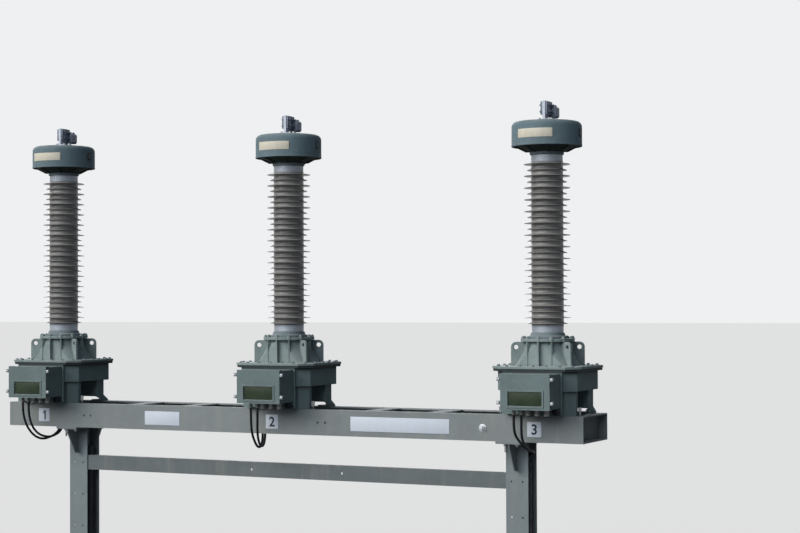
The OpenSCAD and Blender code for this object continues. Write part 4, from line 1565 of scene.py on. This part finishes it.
@dataclass
class Signs:
    """Plates on the front web: a number under each transformer and two bare signs."""

    number_plate: Sign = Sign(-0.008, -0.103, 0.113, 0.112)
    short_sign: Sign = Sign(-1.0515, -0.10325, 0.339, 0.1115)
    long_sign: Sign = Sign(1.1195, -0.1015, 0.845, 0.112)
    thick: float = 0.003
    rivet: Point = (0.0035, 0.002)
    rivet_inset: float = 0.009
    rivet_out: float = 0.0036
    digit: float = 0.106
    digit_out: float = 0.0031
    digit_thick: float = 0.0003
    digit_bold: float = 0.0022
    flag: Vec3 = (0.010, 0.0005, 0.031)
    flag_place: Point = (-0.0095, -0.0135)
    flag_turn: float = 50.0

    def plate(self, sign: Sign) -> Piece:
        """Make a plate with a rivet near each corner.

        Args:
            sign: Its place and size.

        Returns:
            The plate.
        """
        size = (sign.wide, self.thick, sign.high)
        sheet = block(size, (sign.x, WEB_FACE - self.thick / 2, sign.z), 0.0006)
        x, z = sign.wide / 2 - self.rivet_inset, sign.high / 2 - self.rivet_inset
        y = WEB_FACE - self.rivet_out
        rivets = [rod(*self.rivet, (sign.x + i * x, y, sign.z + j * z), Way.FRONT, 12, 0.0008)
                  for i in (-1, 1) for j in (-1, 1)]
        return smooth(joined([sheet] + rivets))

    def flagged(self, stem: Piece) -> Piece:
        """Make the figure one.

        Args:
            stem: The plain upright stroke.

        Returns:
            The stroke with the short one at its top left.
        """
        top = max(v.co.z for v in stem.data.vertices)
        mid = sum(v.co.x for v in stem.data.vertices) / len(stem.data.vertices)
        x, z = self.flag_place
        flag = block(self.flag, (0.0, 0.0, 0.0))
        flag.data.transform(Matrix.Translation((mid + x, 0.0, top + z))
                            @ Matrix.Rotation(math.radians(self.flag_turn), 4, "Y"))
        return joined([stem, flag])

    def number(self, phase: Phase) -> Piece:
        """Make a transformer's number as raised print round the origin.

        Args:
            phase: The transformer.

        Returns:
            The number, facing -Y.
        """
        clear()
        bpy.ops.object.text_add(location=(0, 0, 0), rotation=(math.pi / 2, 0, 0))
        text = bpy.context.object.data
        text.body, text.size = str(phase.value), self.digit
        text.align_x = text.align_y = "CENTER"
        text.extrude, text.offset = self.digit_thick, self.digit_bold
        bpy.ops.object.convert(target="MESH")
        digit = bpy.context.object
        settle(digit)
        if phase is Phase.LEFT:
            digit = self.flagged(digit)
        digit.data.transform(Matrix.Translation(-sum((Vector(c) for c in digit.bound_box), Vector()) / 8))
        return digit

    def build(self) -> None:
        """Make the plates, their numbers and the bare signs."""
        in_each(in_row(self.plate(self.number_plate)), "number_plate", Finish.WHITE)
        for phase in Phase:
            digit = self.number(phase)
            place = (phase.axis + self.number_plate.x, WEB_FACE - self.digit_out, self.number_plate.z)
            digit.data.transform(Matrix.Translation(place))
            finish(in_row(digit), f"number_{phase.value}", Finish.PRINT)
        for name, sign in (("short_sign", self.short_sign), ("long_sign", self.long_sign)):
            finish(in_row(self.plate(sign)), name, Finish.WHITE)


# Scene


@dataclass(frozen=True)
class Lamp:
    """A distant lamp: its name, strength, softness in degrees, direction to it and colour."""

    name: str
    strength: float
    softness: float
    source: Vec3
    colour: Colour

    def build(self) -> None:
        """Add the lamp."""
        light = bpy.data.lights.new(self.name, "SUN")
        light.energy = self.strength
        light.angle = math.radians(self.softness)
        light.color = self.colour
        lamp = bpy.data.objects.new(self.name, light)
        lamp.rotation_euler = Vector(self.source).to_track_quat("Z", "Y").to_euler()
        bpy.context.collection.objects.link(lamp)


@dataclass
class Studio:
    """Camera, lights, pale floor and background."""

    eye: Vec3 = (7.2584, -12.3825, 2.5825)
    yaw: float = 26.59
    pitch: float = 1.17
    roll: float = -0.22
    focal_px: float = 1788.9
    width_px: float = 800.0
    sensor: float = 36.0
    sky: float = 0.142
    lamps: tuple[Lamp, ...] = (Lamp("key", 2.95, 40.0, (-0.530, -0.685, 0.500), (1.0, 0.955, 0.885)),
                               Lamp("fill", 1.28, 40.0, (-0.020, -0.906, 0.423), (0.90, 0.96, 1.0)),
                               Lamp("back", 1.1, 50.0, (-0.540, 0.735, 0.410), (0.86, 0.94, 1.0)))
    sky_colour: Colour = (0.68, 0.88, 1.12)
    background: Colour = (0.86, 0.87, 0.88)
    floor: Colour = (0.13, 0.13, 0.13)
    floor_glow: float = 0.64

    def build_camera(self) -> None:
        """Make the camera at the photograph's place and angle."""
        yaw, pitch, roll = (math.radians(a) for a in (self.yaw, self.pitch, self.roll))
        ahead = Vector((-math.sin(yaw) * math.cos(pitch), math.cos(yaw) * math.cos(pitch), math.sin(pitch)))
        side = Vector((math.cos(yaw), math.sin(yaw), 0.0))
        up = side.cross(ahead)
        side, up = side * math.cos(roll) + up * math.sin(roll), up * math.cos(roll) - side * math.sin(roll)
        lens = bpy.data.cameras.new("view")
        lens.sensor_width = self.sensor
        lens.lens = self.focal_px / self.width_px * self.sensor
        lens.clip_end = 500.0
        camera = bpy.data.objects.new("view", lens)
        bpy.context.collection.objects.link(camera)
        camera.matrix_world = Matrix.Translation(self.eye) @ Matrix((side, up, -ahead)).transposed().to_4x4()
        bpy.context.scene.camera = camera

    @staticmethod
    def seen(tree: Tree) -> Socket:
        """Tell the rays that see the background from the rays that light the part.

        Args:
            tree: The tree of the sky or the floor.

        Returns:
            1 for rays from the camera and for mirrored ones, 0 for the rest.
        """
        rays = tree.add("LightPath").outputs
        mirrored = tree.math("MAXIMUM", rays["Is Glossy Ray"], rays["Is Transmission Ray"])
        return tree.math("MAXIMUM", rays["Is Camera Ray"], mirrored)

    def build_light(self) -> None:
        """Make the soft lamps and the even sky."""
        for lamp in self.lamps:
            lamp.build()
        world = bpy.data.worlds.new("studio")
        world.use_nodes = True
        bpy.context.scene.world = world
        tree = Tree(world.node_tree)
        even = tree.add("Background", {"Color": self.sky_colour, "Strength": self.sky})
        pale = tree.add("Background", {"Color": self.background, "Strength": 1.0})
        mix = tree.add("MixShader", {0: self.seen(tree), 1: even.outputs[0], 2: pale.outputs[0]})
        tree.put(mix.outputs[0], tree.find("World Output").inputs["Surface"])

    def build_floor(self) -> None:
        """Make the pale floor, which keeps the part's shadow."""
        clear()
        bpy.ops.mesh.primitive_plane_add(size=400.0, location=(0, 0, -0.001))
        floor = bpy.context.object
        floor.name = "studio_floor"
        material = bpy.data.materials.new("pale_floor")
        material.use_nodes = True
        tree = Tree(material.node_tree)
        shader = tree.find("Principled BSDF")
        for name, value in (("Base Color", self.floor), ("Roughness", 0.9), ("Specular IOR Level", 0.0)):
            tree.put(value, shader.inputs[name])
        glow = tree.add("Emission", {"Color": (1.0, 1.0, 1.0),
                                  "Strength": tree.math("MULTIPLY", self.seen(tree), self.floor_glow)})
        both = tree.add("AddShader", {0: shader.outputs[0], 1: glow.outputs[0]})
        tree.put(both.outputs[0], tree.find("Material Output").inputs["Surface"])
        floor.data.materials.append(material)


def main() -> None:
    """Build the scene: camera and cables first, then stand, transformers, signs, light and floor."""
    logging.basicConfig(level=logging.INFO, format="%(name)s: %(message)s")
    bpy.context.scene.view_settings.view_transform = "Standard"
    studio = Studio()
    studio.build_camera()
    wiring = Wiring()
    wiring.build_cables()
    for part in (Frame(), Posts(), Tank(), Casting(), Insulator(), Head(), TerminalBox()):
        part.build()
    wiring.build_glands()
    Signs().build()
    studio.build_light()
    studio.build_floor()
    clear()


if __name__ == "__main__":
    main()
